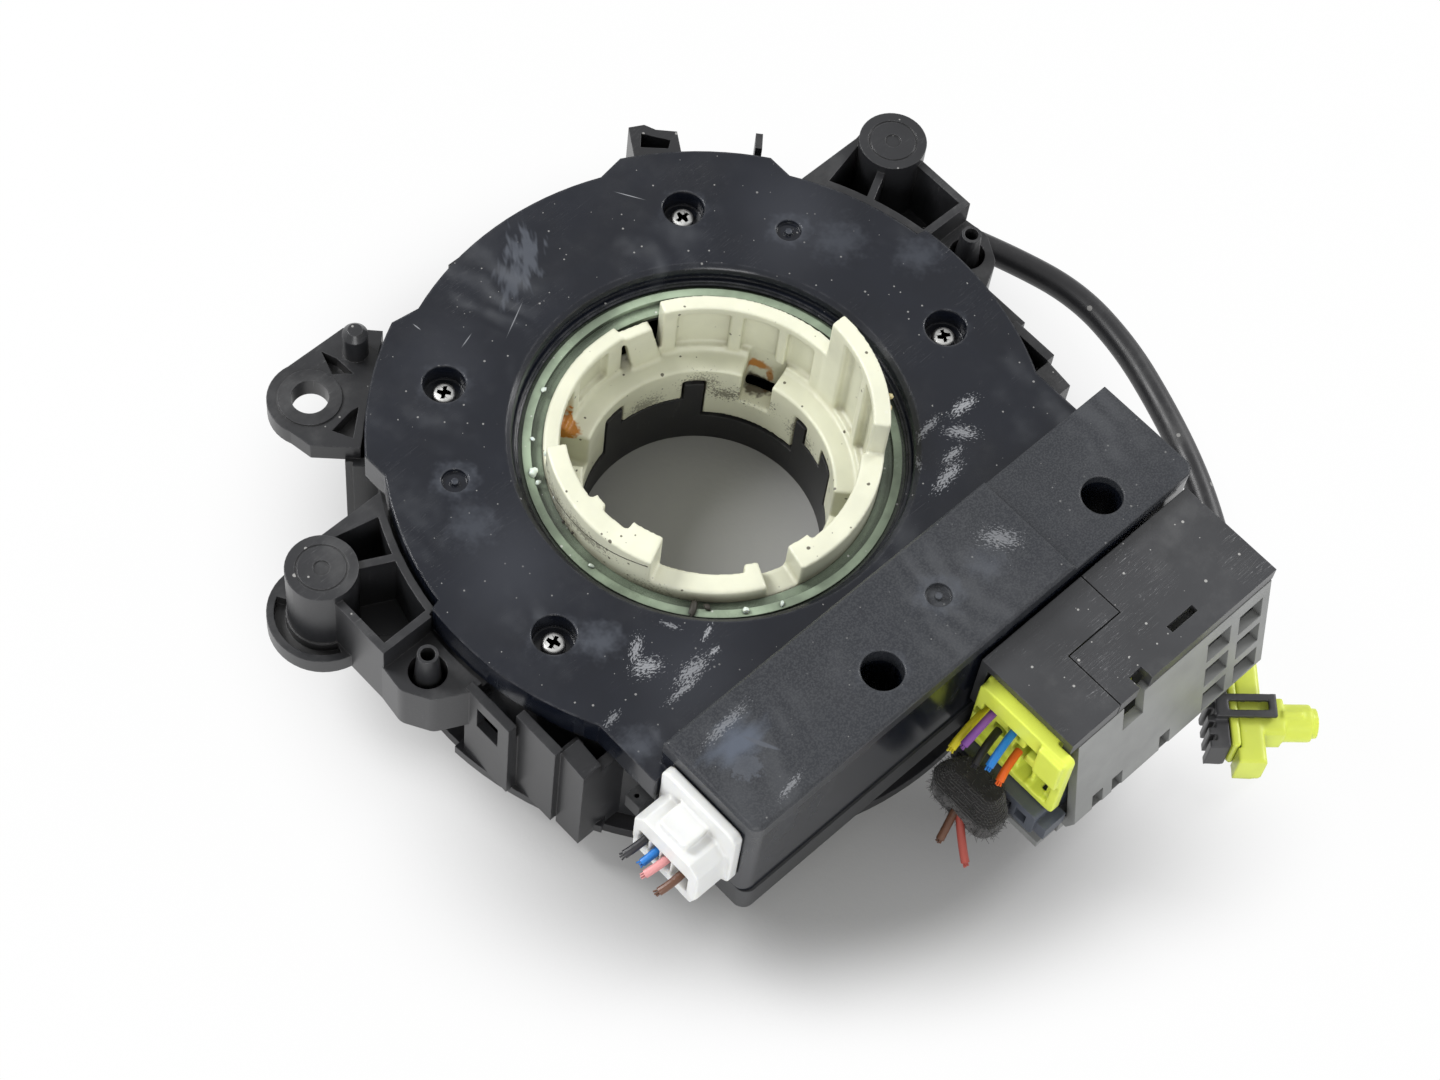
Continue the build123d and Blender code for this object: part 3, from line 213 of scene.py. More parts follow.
class EffectLibrary:
    """Builds each shared effect once and places it in materials."""

    def __init__(self) -> None:
        """Starts with no groups built."""
        self.trees: Dict[Effect, bpy.types.NodeTree] = {}

    def start(
        self, effect: Effect, inputs: Sequence[str], outputs: Sequence[str]
    ) -> Tuple[Graph, Sockets, Sockets]:
        """Makes an empty group with its sockets.

        Args:
            effect: which effect it is.
            inputs: names of the inputs.
            outputs: names of the outputs.

        Returns:
            The group's graph, the values it is given and the results it gives.
        """
        tree = bpy.data.node_groups.new(effect.value, "ShaderNodeTree")
        for way, names in (("INPUT", inputs), ("OUTPUT", outputs)):
            for name in names:
                kind = "NodeSocketVector" if name in VECTOR_SOCKETS else "NodeSocketFloat"
                tree.interface.new_socket(name=name, in_out=way, socket_type=kind)
        self.trees[effect] = tree
        given = tree.nodes.new("NodeGroupInput").outputs
        return Graph(tree), given, tree.nodes.new("NodeGroupOutput").inputs

    def edge(self) -> None:
        """Rounded edge normal, a mask of worn edges and an ambient occlusion mask of hollow corners, where
        mouldings get painted shade with grime and metals tarnish.
        """
        graph, given, result = self.start(Effect.EDGE, ("Radius", "Break up"), ("Normal", "Worn", "Corner"))
        bevel = graph.node("Bevel", samples=4)
        graph.feed(bevel.inputs["Radius"], given["Radius"])
        plain = graph.node("NewGeometry").outputs["Normal"]
        turn = graph.node("VectorMath", operation="DOT_PRODUCT")
        graph.feed(turn.inputs[0], bevel.outputs[0])
        graph.feed(turn.inputs[1], plain)
        tilt = graph.math("SUBTRACT", 1.0, turn.outputs["Value"])
        where = graph.node("TexCoord").outputs["Object"]
        patches = graph.noise(where, given["Break up"], 5.0, 0.7)
        share = graph.between(patches, 0.38, 0.66)
        hollow = graph.node("AmbientOcclusion", samples=4)
        hollow.inputs["Distance"].default_value = 2.5 * MM
        open_share = graph.between(hollow.outputs["AO"], 0.45, 0.85)
        worn = graph.scaled(graph.between(tilt, 0.01, 0.12), share)
        graph.feed(result["Normal"], bevel.outputs[0])
        graph.feed(result["Worn"], graph.scaled(worn, open_share))
        graph.feed(result["Corner"], graph.math("SUBTRACT", 1.0, open_share))

    def dust(self) -> None:
        """Film and specks of dust on faces that look up, and grit on faces of any direction."""
        graph, given, result = self.start(
            Effect.DUST, ("Film scale", "Speck scale"), ("Film", "Specks", "Grit")
        )
        where = graph.node("TexCoord").outputs["Object"]
        parts = graph.node("SeparateXYZ", {"Vector": graph.node("NewGeometry").outputs["Normal"]})
        upward = graph.between(parts.outputs["Z"], 0.1, 0.8)
        cloud = graph.noise(where, given["Film scale"], 7.0, 0.68)
        film = graph.scaled(graph.between(cloud, 0.46, 0.78), upward)
        cells = graph.node("TexVoronoi", {"Vector": where, "Scale": given["Speck scale"]})
        dice = graph.node("SeparateXYZ", {"Vector": cells.outputs["Color"]})
        reach = graph.scaled(graph.math("POWER", dice.outputs["X"], 10.0), 0.26)
        dots = graph.between(graph.math("SUBTRACT", reach, cells.outputs["Distance"]), 0.0, 0.05)
        graph.feed(result["Film"], film)
        graph.feed(result["Specks"], graph.scaled(dots, upward))
        finer = graph.scaled(given["Speck scale"], 1.7)
        grains = graph.node("TexVoronoi", {"Vector": where, "Scale": finer})
        chance = graph.node("SeparateXYZ", {"Vector": grains.outputs["Color"]}).outputs["X"]
        spread = graph.between(graph.noise(where, 210.0, 3.0), 0.44, 0.62)
        reach = graph.scaled(graph.math("POWER", chance, 5.0), graph.scaled(spread, 0.42))
        inside = graph.math("SUBTRACT", reach, grains.outputs["Distance"])
        graph.feed(result["Grit"], graph.between(inside, 0.0, 0.06))

    def scratch(self) -> None:
        """Fine straight scratches in three directions, thinned out in patches."""
        graph, given, result = self.start(Effect.SCRATCH, ("Scale",), ("Lines",))
        where = graph.node("TexCoord").outputs["Object"]
        lines: Value = 0.0
        for angle in (24.0, 78.0, -41.0):
            strung = graph.turned(where, angle, (1.0, 26.0, 1.0))
            value = graph.noise(strung, given["Scale"], 1.0, 0.4)
            line = graph.between(graph.math("ABSOLUTE", graph.math("SUBTRACT", value, 0.5)), 0.008, 0.0)
            plain = graph.turned(where, angle, (1.0, 1.0, 1.0))
            patch = graph.between(graph.noise(plain, 70.0, 2.0), 0.56, 0.7)
            lines = graph.math("MAXIMUM", lines, graph.scaled(line, patch))
        graph.feed(result["Lines"], lines)

    def grain(self) -> None:
        """Height of the fine texture that a mould leaves."""
        graph, given, result = self.start(Effect.GRAIN, ("Scale",), ("Height",))
        where = graph.node("TexCoord").outputs["Object"]
        fine = graph.noise(where, given["Scale"], 3.0, 0.6)
        cells = graph.node(
            "TexVoronoi",
            {"Vector": where, "Scale": graph.scaled(given["Scale"], 0.7)},
            feature="SMOOTH_F1",
        )
        height = graph.math("ADD", fine, graph.scaled(cells.outputs["Distance"], 0.5))
        graph.feed(result["Height"], height)

    def smudge(self) -> None:
        """Curved wipe marks left on a glossy surface."""
        graph, given, result = self.start(Effect.SMUDGE, ("Scale",), ("Haze",))
        where = graph.node("TexCoord").outputs["Object"]
        bend = graph.node("TexNoise", {"Vector": where, "Scale": 26.0, "Detail": 2.0})
        shifted = graph.node("VectorMath", operation="MULTIPLY_ADD")
        graph.feed(shifted.inputs[0], bend.outputs["Color"])
        shifted.inputs[1].default_value = (0.03, 0.03, 0.03)
        graph.feed(shifted.inputs[2], where)
        wave = graph.node("TexWave", {
            "Vector": shifted.outputs[0], "Scale": given["Scale"], "Distortion": 3.0, "Detail": 3.0,
            "Detail Scale": 2.2,
        })
        patch = graph.between(graph.noise(where, 38.0, 4.0, 0.6), 0.52, 0.68)
        graph.feed(result["Haze"], graph.scaled(wave.outputs["Fac"], patch))

    def mark(self) -> None:
        """Mask of one local mark inside a turned ellipsoid, its border broken up by stretched noise.

        Each node is made after the ones that it reads. A finish holds at most 48 marks: with 50 marks it
        still renders, with 54 it turns black.
        """
        graph, given, result = self.start(
            Effect.MARK,
            ("X", "Y", "Z", "Angle", "Length", "Width", "Height", "Stretch", "Scale", "Break up", "Border",
             "Where"),
            ("Mask",),
        )
        centre = graph.node("CombineXYZ", {axis: given[axis] for axis in "XYZ"}).outputs[0]
        shifted = graph.vector("SUBTRACT", given["Where"], centre)
        back = graph.scaled(given["Angle"], -1.0)
        turned = graph.node(
            "VectorRotate", {"Vector": shifted, "Angle": back}, rotation_type="Z_AXIS"
        ).outputs[0]
        sides = {"X": given["Length"], "Y": given["Width"], "Z": given["Height"]}
        size = graph.node("CombineXYZ", sides).outputs[0]
        share = graph.vector("DIVIDE", turned, size)
        reach = graph.node("VectorMath", {"Vector": share}, operation="LENGTH").outputs["Value"]
        inside = graph.math("SUBTRACT", 1.0, reach)
        stretch = graph.node("CombineXYZ", {"X": given["Stretch"], "Y": 1.0, "Z": 1.0}).outputs[0]
        strung = graph.vector("DIVIDE", turned, stretch)
        grit = graph.math("SUBTRACT", graph.noise(strung, given["Scale"], 2.0, 0.66), 0.5)
        level = graph.math("ADD", inside, graph.scaled(grit, given["Break up"]))
        top = graph.math("ADD", given["Border"], 0.12)
        graph.feed(result["Mask"], graph.between(level, 0.12, top))

    def place(self, graph: Graph, effect: Effect, **values: float) -> bpy.types.Node:
        """Puts an effect into a material.

        Args:
            graph: the material's graph.
            effect: which effect.
            values: the group's inputs, with underscores for spaces.

        Returns:
            The group's node.
        """
        if effect not in self.trees:
            builders = {
                Effect.EDGE: self.edge,
                Effect.DUST: self.dust,
                Effect.SCRATCH: self.scratch,
                Effect.GRAIN: self.grain,
                Effect.SMUDGE: self.smudge,
                Effect.MARK: self.mark,
            }
            builders[effect]()
        made = graph.tree.nodes.new("ShaderNodeGroup")
        made.node_tree = self.trees[effect]
        for key, value in values.items():
            graph.feed(made.inputs[key.replace("_", " ")], value)
        return made


EFFECTS = EffectLibrary()


def new_material(name: str) -> Tuple[bpy.types.Material, Graph, bpy.types.Node]:
    """Starts a node material.

    Args:
        name: the material's name.

    Returns:
        The material, its graph and its Principled BSDF.
    """
    material = bpy.data.materials.new(name)
    material.use_nodes = True
    return material, Graph(material.node_tree), material.node_tree.nodes["Principled BSDF"]


@dataclass(frozen=True)
class Mark:
    """One wipe, haze, scratch, stain or painted reflection at a place on a piece, in millimetres and
    degrees.
    """

    place: Point
    size: Point
    color: Colour = (0.30, 0.32, 0.35)
    strength: float = 0.5
    angle: float = 0.0
    stretch: float = 1.0
    scale: float = 700.0
    break_up: float = 2.0
    border: float = 0.5
    rough: float = 0.12

    def mask(self, graph: Graph, where: bpy.types.NodeSocket) -> bpy.types.NodeSocket:
        """Places the mark in a material.

        Args:
            graph: the material's graph.
            where: the piece's Object coordinates.

        Returns:
            The socket of its mask.
        """
        made = EFFECTS.place(
            graph, Effect.MARK, X=self.place[0] * MM, Y=self.place[1] * MM, Z=self.place[2] * MM,
            Angle=math.radians(self.angle), Length=self.size[0] * MM, Width=self.size[1] * MM,
            Height=self.size[2] * MM, Stretch=self.stretch, Scale=self.scale, Break_up=self.break_up,
            Border=self.border, Where=where,
        )
        return graph.scaled(made.outputs["Mask"], self.strength)


@dataclass(frozen=True)
class Moulding:
    """Moulded plastic or rubber with grain, worn edges, painted shade with grime in hollow corners, dust and
    scratches.
    """

    name: str
    color: Colour
    roughness: float = 0.5
    grain: float = 0.15
    grain_scale: float = 2600.0
    edge: float = 0.25
    wear: float = 0.35
    wear_color: Colour = (0.20, 0.20, 0.21)
    dirt_and_shade: float = 0.3
    dirt_and_shade_color: Colour = (0.02, 0.018, 0.015)
    film: float = 0.1
    film_scale: float = 70.0
    specks: float = 0.5
    speck_scale: float = 420.0
    scratches: float = 0.2
    smudges: float = 0.0
    mottle: float = 0.12
    specular: float = 0.5
    softness: float = 0.0
    grit: float = 0.0
    marks: Tuple[Mark, ...] = ()
    matt_above: float = 0.0
    matt_and_painted_highlight_color: Colour = (0.042, 0.045, 0.050)

    def material(self) -> bpy.types.Material:
        """Builds the material.

        Returns:
            The finished material.
        """
        made, graph, shader = new_material(self.name)
        where = graph.node("TexCoord").outputs["Object"]
        edge = EFFECTS.place(graph, Effect.EDGE, Radius=self.edge * MM, Break_up=420.0)
        dust = EFFECTS.place(graph, Effect.DUST, Film_scale=self.film_scale, Speck_scale=self.speck_scale)
        lines = EFFECTS.place(graph, Effect.SCRATCH, Scale=140.0).outputs["Lines"]
        grain = EFFECTS.place(graph, Effect.GRAIN, Scale=self.grain_scale).outputs["Height"]
        tone = graph.noise(where, 90.0, 4.0)
        darker = tuple(channel * (1.0 - self.mottle) for channel in self.color)
        lighter = tuple(min(1.0, channel * (1.0 + self.mottle)) for channel in self.color)
        base = graph.blend(graph.between(tone, 0.3, 0.7), darker, lighter)
        # Painted shade with grime: corners that ambient occlusion finds hollow are darkened toward
        # dirt_and_shade_color.
        base = graph.layer(base, edge.outputs["Corner"], self.dirt_and_shade, self.dirt_and_shade_color)
        base = graph.layer(base, edge.outputs["Worn"], self.wear, self.wear_color)
        base = graph.layer(base, dust.outputs["Film"], self.film, DUST_FILM)
        base = graph.layer(base, lines, self.scratches * 0.5, SCRATCHED)
        base = graph.layer(base, dust.outputs["Specks"], self.specks, DUST_SPECK)
        if self.grit:
            base = graph.layer(base, dust.outputs["Grit"], self.grit, DARK_GRIT)
        rough = graph.math("ADD", self.roughness, graph.scaled(dust.outputs["Film"], 0.25))
        rough = graph.math("ADD", rough, graph.scaled(lines, self.scratches * 0.4))
        if self.smudges:
            haze = EFFECTS.place(graph, Effect.SMUDGE, Scale=55.0).outputs["Haze"]
            rough = graph.math("ADD", rough, graph.scaled(haze, self.smudges * 0.3))
            base = graph.layer(base, haze, self.smudges * 0.05, WIPED)
        # Above matt_above the face is matt textured: rougher, with more grain, and a lighter colour that is
        # partly a painted highlight.
        if self.matt_above:
            height = graph.node("SeparateXYZ", {"Vector": where}).outputs["Z"]
            matt = graph.between(height, (self.matt_above - 0.5) * MM, self.matt_above * MM)
            speckle = graph.between(graph.noise(where, 3600.0, 2.0), 0.42, 0.62)
            tone = graph.scaled(matt, graph.math("ADD", graph.scaled(speckle, 0.5), 0.35))
            base = graph.blend(tone, base, self.matt_and_painted_highlight_color)
            rough = graph.math("ADD", rough, graph.scaled(matt, 0.14))
            grain = graph.scaled(grain, graph.math("ADD", graph.scaled(matt, 5.0), 1.0))
        for mark in self.marks:
            mask = mark.mask(graph, where)
            base = graph.blend(mask, base, mark.color)
            rough = graph.math("ADD", rough, graph.scaled(mask, mark.rough))
        graph.feed(shader.inputs["Base Color"], base)
        graph.feed(shader.inputs["Roughness"], graph.math("MINIMUM", rough, 0.95))
        bump = graph.node("Bump", {
            "Strength": self.grain, "Distance": 0.05 * MM, "Height": grain, "Normal": edge.outputs["Normal"],
        })
        graph.feed(shader.inputs["Normal"], bump.outputs[0])
        shader.inputs["Specular IOR Level"].default_value = self.specular
        if self.softness:
            shader.inputs["Subsurface Weight"].default_value = self.softness
            shader.inputs["Subsurface Radius"].default_value = (1.0, 0.9, 0.6)
            shader.inputs["Subsurface Scale"].default_value = 1.2 * MM
        return made


@dataclass(frozen=True)
class BareMetal:
    """Plated or drawn metal with a faint uneven tone."""

    name: str
    color: Colour
    roughness: float = 0.28
    edge: float = 0.08

    def material(self) -> bpy.types.Material:
        """Builds the material.

        Returns:
            The finished material.
        """
        made, graph, shader = new_material(self.name)
        where = graph.node("TexCoord").outputs["Object"]
        tone = graph.noise(where, 900.0, 4.0)
        edge = EFFECTS.place(graph, Effect.EDGE, Radius=self.edge * MM, Break_up=900.0)
        dull = tuple(channel * 0.7 for channel in self.color)
        base = graph.blend(graph.between(tone, 0.35, 0.7), self.color, dull)
        base = graph.layer(base, edge.outputs["Corner"], 0.5, TARNISH)
        graph.feed(shader.inputs["Base Color"], base)
        rough = graph.math("ADD", self.roughness, graph.scaled(tone, 0.15))
        graph.feed(shader.inputs["Roughness"], rough)
        graph.feed(shader.inputs["Normal"], edge.outputs["Normal"])
        shader.inputs["Metallic"].default_value = 1.0
        return made


@dataclass(frozen=True)
class ClothTape:
    """Black cloth tape: a fine weave with lint in it."""

    name: str
    color: Colour = (0.018, 0.017, 0.016)

    def material(self) -> bpy.types.Material:
        """Builds the material.

        Returns:
            The finished material.
        """
        made, graph, shader = new_material(self.name)
        where = graph.node("TexCoord").outputs["Object"]
        threads = {"Vector": where, "Scale": 900.0, "Distortion": 1.2}
        first = graph.node("TexWave", threads, bands_direction="X")
        second = graph.node("TexWave", threads, bands_direction="Z")
        weave = graph.scaled(first.outputs["Fac"], second.outputs["Fac"])
        lint = graph.between(graph.noise(where, 1500.0, 4.0, 0.7), 0.62, 0.74)
        base = graph.blend(weave, tuple(c * 0.5 for c in self.color), tuple(c * 2.2 for c in self.color))
        base = graph.layer(base, lint, 0.35, TAPE_LINT)
        bump = graph.node("Bump", {"Strength": 0.7, "Distance": 0.15 * MM, "Height": weave})
        graph.feed(shader.inputs["Base Color"], base)
        graph.feed(shader.inputs["Normal"], bump.outputs[0])
        shader.inputs["Roughness"].default_value = 0.9
        shader.inputs["Sheen Weight"].default_value = 0.25
        return made


HAZE = (0.070, 0.078, 0.095)
CHALK = (0.36, 0.37, 0.39)
AMBER = (0.42, 0.15, 0.0)
# Colour of the painted reflections on the cover's face.
PAINTED_SHEEN = (0.034, 0.037, 0.046)
GRIME = (0.035, 0.022, 0.012)
COVER_Z = 34.0
BOX_Z = 41.0
FACE_DEPTH = 0.9


def halo(x: float, y: float, z: float, reach: float, strength: float = 0.5) -> Mark:
    """Greyish bloom round a gate or a screw well on a top face."""
    size = (reach, reach, 0.35)
    return Mark((x, y, z), size, HAZE, strength * 0.8, scale=420.0, break_up=1.3, border=0.9)


def scratch_line(x: float, y: float, length: float, angle: float, strength: float = 0.6) -> Mark:
    """One thin pale scratch on the cover's face."""
    size = (length, 0.14, FACE_DEPTH)
    return Mark((x, y, COVER_Z), size, CHALK, strength * 0.8, angle, 6.0, 900.0, 0.9, 0.6)


def smear(
    x: float, y: float, length: float, width: float, angle: float, strength: float = 0.7, z: float = COVER_Z
) -> Mark:
    """A chalky smear, broken into streaks."""
    size = (length, width, FACE_DEPTH)
    return Mark((x, y, z), size, CHALK, strength * 0.75, angle, 2.4, 3600.0, 5.0, 0.5, 0.3)


def painted_sheen(x: float, y: float, reach: float, strength: float = 0.6) -> Mark:
    """A painted reflection: a wide, faint lighter zone of the cover's face where a broad lamp would reflect.
    """
    size = (reach, reach * 0.7, FACE_DEPTH)
    return Mark((x, y, COVER_Z), size, PAINTED_SHEEN, strength, 45.0, 1.0, 60.0, 0.5, 0.9, 0.03)


def stain(
    place: Point, size: Point, color: Colour, strength: float, angle: float, scale: float, break_up: float,
    border: float = 0.4, rough: float = 0.0,
) -> Mark:
    """A stain or a patch of grime on the collar, with no streaks."""
    return Mark(place, size, color, strength, angle, 1.0, scale, break_up, border, rough)


COVER_MARKS = (
    # Painted reflection: four wide lighter zones of the cover's face.
    painted_sheen(-40.0, 4.0, 20.0), painted_sheen(-33.0, -30.0, 22.0, 0.5),
    painted_sheen(-24.0, 38.0, 16.0, 0.35), painted_sheen(38.0, 22.0, 20.0, 0.55),
    halo(36.2, 20.7, COVER_Z, 5.2, 0.7), halo(-36.2, 20.7, COVER_Z, 5.4, 0.8),
    halo(3.6, -45.4, BOX_Z, 6.0, 0.8),
    halo(25.93, 35.05, COVER_Z, 5.8, 0.45), halo(-25.93, 35.05, COVER_Z, 6.0, 0.6),
    halo(42.55, -9.51, COVER_Z, 5.6, 0.35), halo(-42.55, -9.51, COVER_Z, 6.0, 0.55),
    halo(-12.0, -48.9, BOX_Z, 6.2, 0.55),
    halo(-38.0, -14.7, COVER_Z, 5.5, 0.8), halo(-39.5, 13.0, COVER_Z, 6.5, 0.5),
    halo(49.0, 3.5, COVER_Z, 6.0, 0.5), halo(41.3, 13.9, COVER_Z, 7.0, 0.45),
    halo(-45.5, -31.5, COVER_Z, 5.0, 0.6), halo(12.7, -46.4, BOX_Z, 5.0, 0.5),
    Mark((-36.8, -42.6, BOX_Z), (7.5, 5.0, FACE_DEPTH), (0.085, 0.10, 0.13), 0.9, 5.0, 2.5, 260.0, 1.6, 0.8,
         -0.12),
    Mark((-38.3, -46.9, BOX_Z), (3.0, 3.0, FACE_DEPTH), HAZE, 0.6, 0.0, 1.0, 900.0, 1.6, 0.3),
    Mark((-34.0, -45.6, BOX_Z), (4.2, 0.5, FACE_DEPTH), HAZE, 0.8, -62.0, 3.0, 500.0, 1.2, 0.4),
    Mark((0.2, 45.2, COVER_Z), (6.5, 4.0, FACE_DEPTH), HAZE, 0.75, 60.0, 3.5, 520.0, 3.4, 0.6),
    Mark((-5.0, 43.0, COVER_Z), (5.5, 3.2, FACE_DEPTH), HAZE, 0.6, 45.0, 3.5, 520.0, 3.2, 0.6),
    smear(-34.9, -19.6, 2.4, 1.0, 40.0, 0.75), smear(-35.6, -22.8, 2.3, 1.6, -20.0, 0.8),
    smear(-30.9, -27.8, 3.4, 1.4, 4.0),
    smear(-24.7, -24.6, 1.6, 0.5, 25.0, 0.9), smear(-26.0, -27.6, 1.0, 0.6, 10.0, 0.9),
    smear(-34.1, -29.3, 3.2, 0.6, 2.0), smear(-45.5, -25.8, 1.7, 0.7, 15.0, 0.5),
    smear(-28.1, -19.9, 1.5, 0.5, -60.0, 0.6),
    smear(34.1, -21.8, 2.6, 1.1, 0.0, 0.9), smear(30.4, -25.0, 2.6, 1.3, -45.0),
    smear(26.8, -20.9, 3.0, 0.7, 8.0, 0.6),
    smear(26.4, -27.0, 2.2, 0.8, 6.0), smear(23.0, -29.3, 3.4, 1.1, 10.0, 0.8),
    smear(21.5, -24.2, 1.9, 0.5, 60.0, 0.6),
    smear(-36.0, -39.8, 4.4, 0.9, 5.0, 0.4, BOX_Z), smear(-35.6, -53.4, 2.6, 0.6, 12.0, 0.5, BOX_Z),
    smear(17.8, -44.6, 3.2, 1.8, -50.0, 0.45, BOX_Z),
    scratch_line(-9.2, 37.0, 5.0, 28.0), scratch_line(-17.8, 38.9, 2.2, 18.0),
    scratch_line(-22.2, 45.9, 1.2, -83.0, 0.8), scratch_line(20.9, 42.6, 3.6, -58.0, 0.8),
)

COLLAR_MARKS = (
    stain((-11.0, 21.8, 23.4), (2.6, 3.4, 5.2), AMBER, 0.95, 27.0, 500.0, 0.8, 0.15, -0.1),
    stain((-8.6, 22.6, 15.5), (2.2, 2.6, 3.4), AMBER, 0.85, 20.0, 600.0, 1.6),
    stain((-7.6, 22.4, 12.6), (2.6, 2.6, 2.6), GRIME, 0.9, 18.0, 700.0, 1.8),
    stain((22.6, 11.9, 17.4), (3.4, 3.2, 1.6), AMBER, 0.9, 117.0, 500.0, 1.4),
    stain((23.4, 9.6, 15.2), (0.9, 3.0, 3.4), AMBER, 0.8, 117.0, 600.0, 1.5),
    stain((22.4, 11.0, 12.6), (3.8, 3.6, 2.6), GRIME, 0.9, 117.0, 500.0, 1.4),
    stain((19.9, -13.6, 9.6), (2.6, 2.6, 3.4), (0.16, 0.07, 0.02), 0.9, 57.0, 700.0, 2.2, 0.5),
    stain((21.2, -10.6, 15.0), (1.6, 2.2, 5.0), (0.22, 0.14, 0.04), 0.6, 60.0, 900.0, 2.6, 0.5),
    stain((13.0, 15.6, 17.0), (3.2, 1.2, 3.0), GRIME, 0.6, 140.0, 2600.0, 4.6),
    stain((18.6, 8.2, 15.8), (3.6, 1.2, 2.6), GRIME, 0.6, 114.0, 2600.0, 4.4),
    stain((4.8, 19.8, 13.8), (3.2, 1.2, 2.4), GRIME, 0.55, 166.0, 2600.0, 4.4),
    stain((20.3, -1.5, 13.4), (3.4, 1.2, 2.8), GRIME, 0.6, 86.0, 2200.0, 4.6),
    stain((16.1, 12.4, 14.4), (2.8, 1.2, 1.8), GRIME, 0.7, 128.0, 2400.0, 4.4),
    stain((-22.4, 13.2, 33.4), (2.2, 1.6, 1.4), GRIME, 0.75, 60.0, 1700.0, 3.4, 0.4, 0.1),
    stain((-25.6, 8.4, 31.0), (4.0, 1.2, 2.8), GRIME, 0.6, 72.0, 2300.0, 4.6, 0.35),
    stain((-26.8, 1.0, 33.2), (5.0, 1.0, 1.6), GRIME, 0.6, 92.0, 2500.0, 4.4, 0.35),
    stain((-24.4, -11.4, 28.0), (4.0, 1.0, 3.0), GRIME, 0.4, 115.0, 2300.0, 4.8, 0.35),
    stain((24.6, -11.6, 40.0), (2.4, 2.6, 2.6), (0.42, 0.36, 0.18), 0.7, 65.0, 1200.0, 2.4, 0.5, 0.1),
)

COVER = Moulding(
    "glossy cover plastic", (0.0060, 0.0075, 0.0125), roughness=0.17, grain=0.04, film=0.02, film_scale=30.0,
    specks=0.28, speck_scale=1150.0, scratches=0.2, smudges=1.0, wear=0.35, dirt_and_shade=0.0, edge=0.55,
    marks=COVER_MARKS, matt_above=38.0,
)
HOUSING = Moulding(
    "charcoal housing plastic", (0.018, 0.0185, 0.0205), roughness=0.33, grain=0.25, wear=0.6, edge=0.24,
    wear_color=(0.13, 0.13, 0.135), film=0.07, specks=0.35, speck_scale=700.0, scratches=0.3,
)
TRAY = Moulding("grey tray plastic", (0.022, 0.023, 0.025), roughness=0.4, grain=0.2, wear=0.4, specks=0.3)
BLOCK = Moulding(
    "dark connector plastic", (0.034, 0.035, 0.038), roughness=0.34, grain=0.25, wear=0.6,
    wear_color=(0.17, 0.17, 0.175), scratches=0.9, edge=0.24, film=0.06, specks=0.4, speck_scale=800.0,
)
PANEL = Moulding(
    "grey connector plastic", (0.22, 0.225, 0.22), roughness=0.38, grain=0.1, wear=0.2, dirt_and_shade=0.75, edge=0.2,
)
IVORY = Moulding(
    "ivory rotor plastic", (0.665, 0.67, 0.53), roughness=0.36, grain=0.05, edge=0.3, wear=0.3,
    wear_color=(0.85, 0.84, 0.75), dirt_and_shade=0.5, dirt_and_shade_color=(0.16, 0.12, 0.05), film=0.0, specks=0.2,
    speck_scale=620.0, scratches=0.1, mottle=0.07, softness=0.08, grit=0.85, marks=COLLAR_MARKS,
)
# Painted shade: the ring's near-black dirt_and_shade_color darkens its deep gap.
RING = Moulding(
    "greased green ring", (0.28, 0.35, 0.25), roughness=0.2, grain=0.5, grain_scale=900.0, dirt_and_shade=0.85,
    dirt_and_shade_color=(0.006, 0.007, 0.006), film=0.0, mottle=0.4, specks=0.6, speck_scale=900.0,
)
HUB = Moulding("black hub plastic", (0.016, 0.016, 0.018), roughness=0.4, film=0.15, specks=0.8, wear=0.4)
NYLON = Moulding("natural nylon", (0.66, 0.65, 0.58), roughness=0.4, softness=0.2)
MAGNET = Moulding("sintered magnet", (0.05, 0.05, 0.055), roughness=0.4, grain=0.3)
BOARD = Moulding("green circuit board", (0.02, 0.12, 0.06), roughness=0.35, grain=0.05)
CHIP = Moulding("black package", (0.02, 0.02, 0.022), roughness=0.5)
FILM_CABLE = Moulding("amber flat cable", (0.42, 0.22, 0.07), roughness=0.25)
YELLOW = Moulding(
    "lime yellow plastic", (0.72, 0.81, 0.10), roughness=0.34, grain=0.05, wear=0.15,
    wear_color=(0.8, 0.85, 0.4), dirt_and_shade=0.35, dirt_and_shade_color=(0.20, 0.22, 0.01), edge=0.3, softness=0.15,
    film=0.02, specks=0.1, scratches=0.05, mottle=0.06,
)
WHITE = Moulding(
    "white nylon", (0.74, 0.75, 0.74), roughness=0.38, grain=0.03, wear=0.0, dirt_and_shade=0.4,
    dirt_and_shade_color=(0.22, 0.19, 0.15), edge=0.3, softness=0.2, film=0.03, specks=0.0, scratches=0.05,
    mottle=0.04,
)
SLATE = Moulding("slate grey plastic", (0.07, 0.08, 0.10), roughness=0.42, grain=0.1)
LOCK = Moulding("dark lock plastic", (0.035, 0.035, 0.038), roughness=0.4)
SHEATH = Moulding(
    "black vinyl sheath", (0.016, 0.016, 0.018), roughness=0.38, grain=0.1, film=0.12, specks=0.3,
)
RUBBER = Moulding("black rubber", (0.018, 0.018, 0.02), roughness=0.6, grain=0.15)
ZINC = BareMetal("bright zinc", (0.88, 0.88, 0.86), roughness=0.36)
TIN = BareMetal("tinned brass", (0.62, 0.61, 0.58))
COPPER = BareMetal("copper strand", (0.72, 0.34, 0.18), roughness=0.3)
TAPE = ClothTape("black cloth tape")


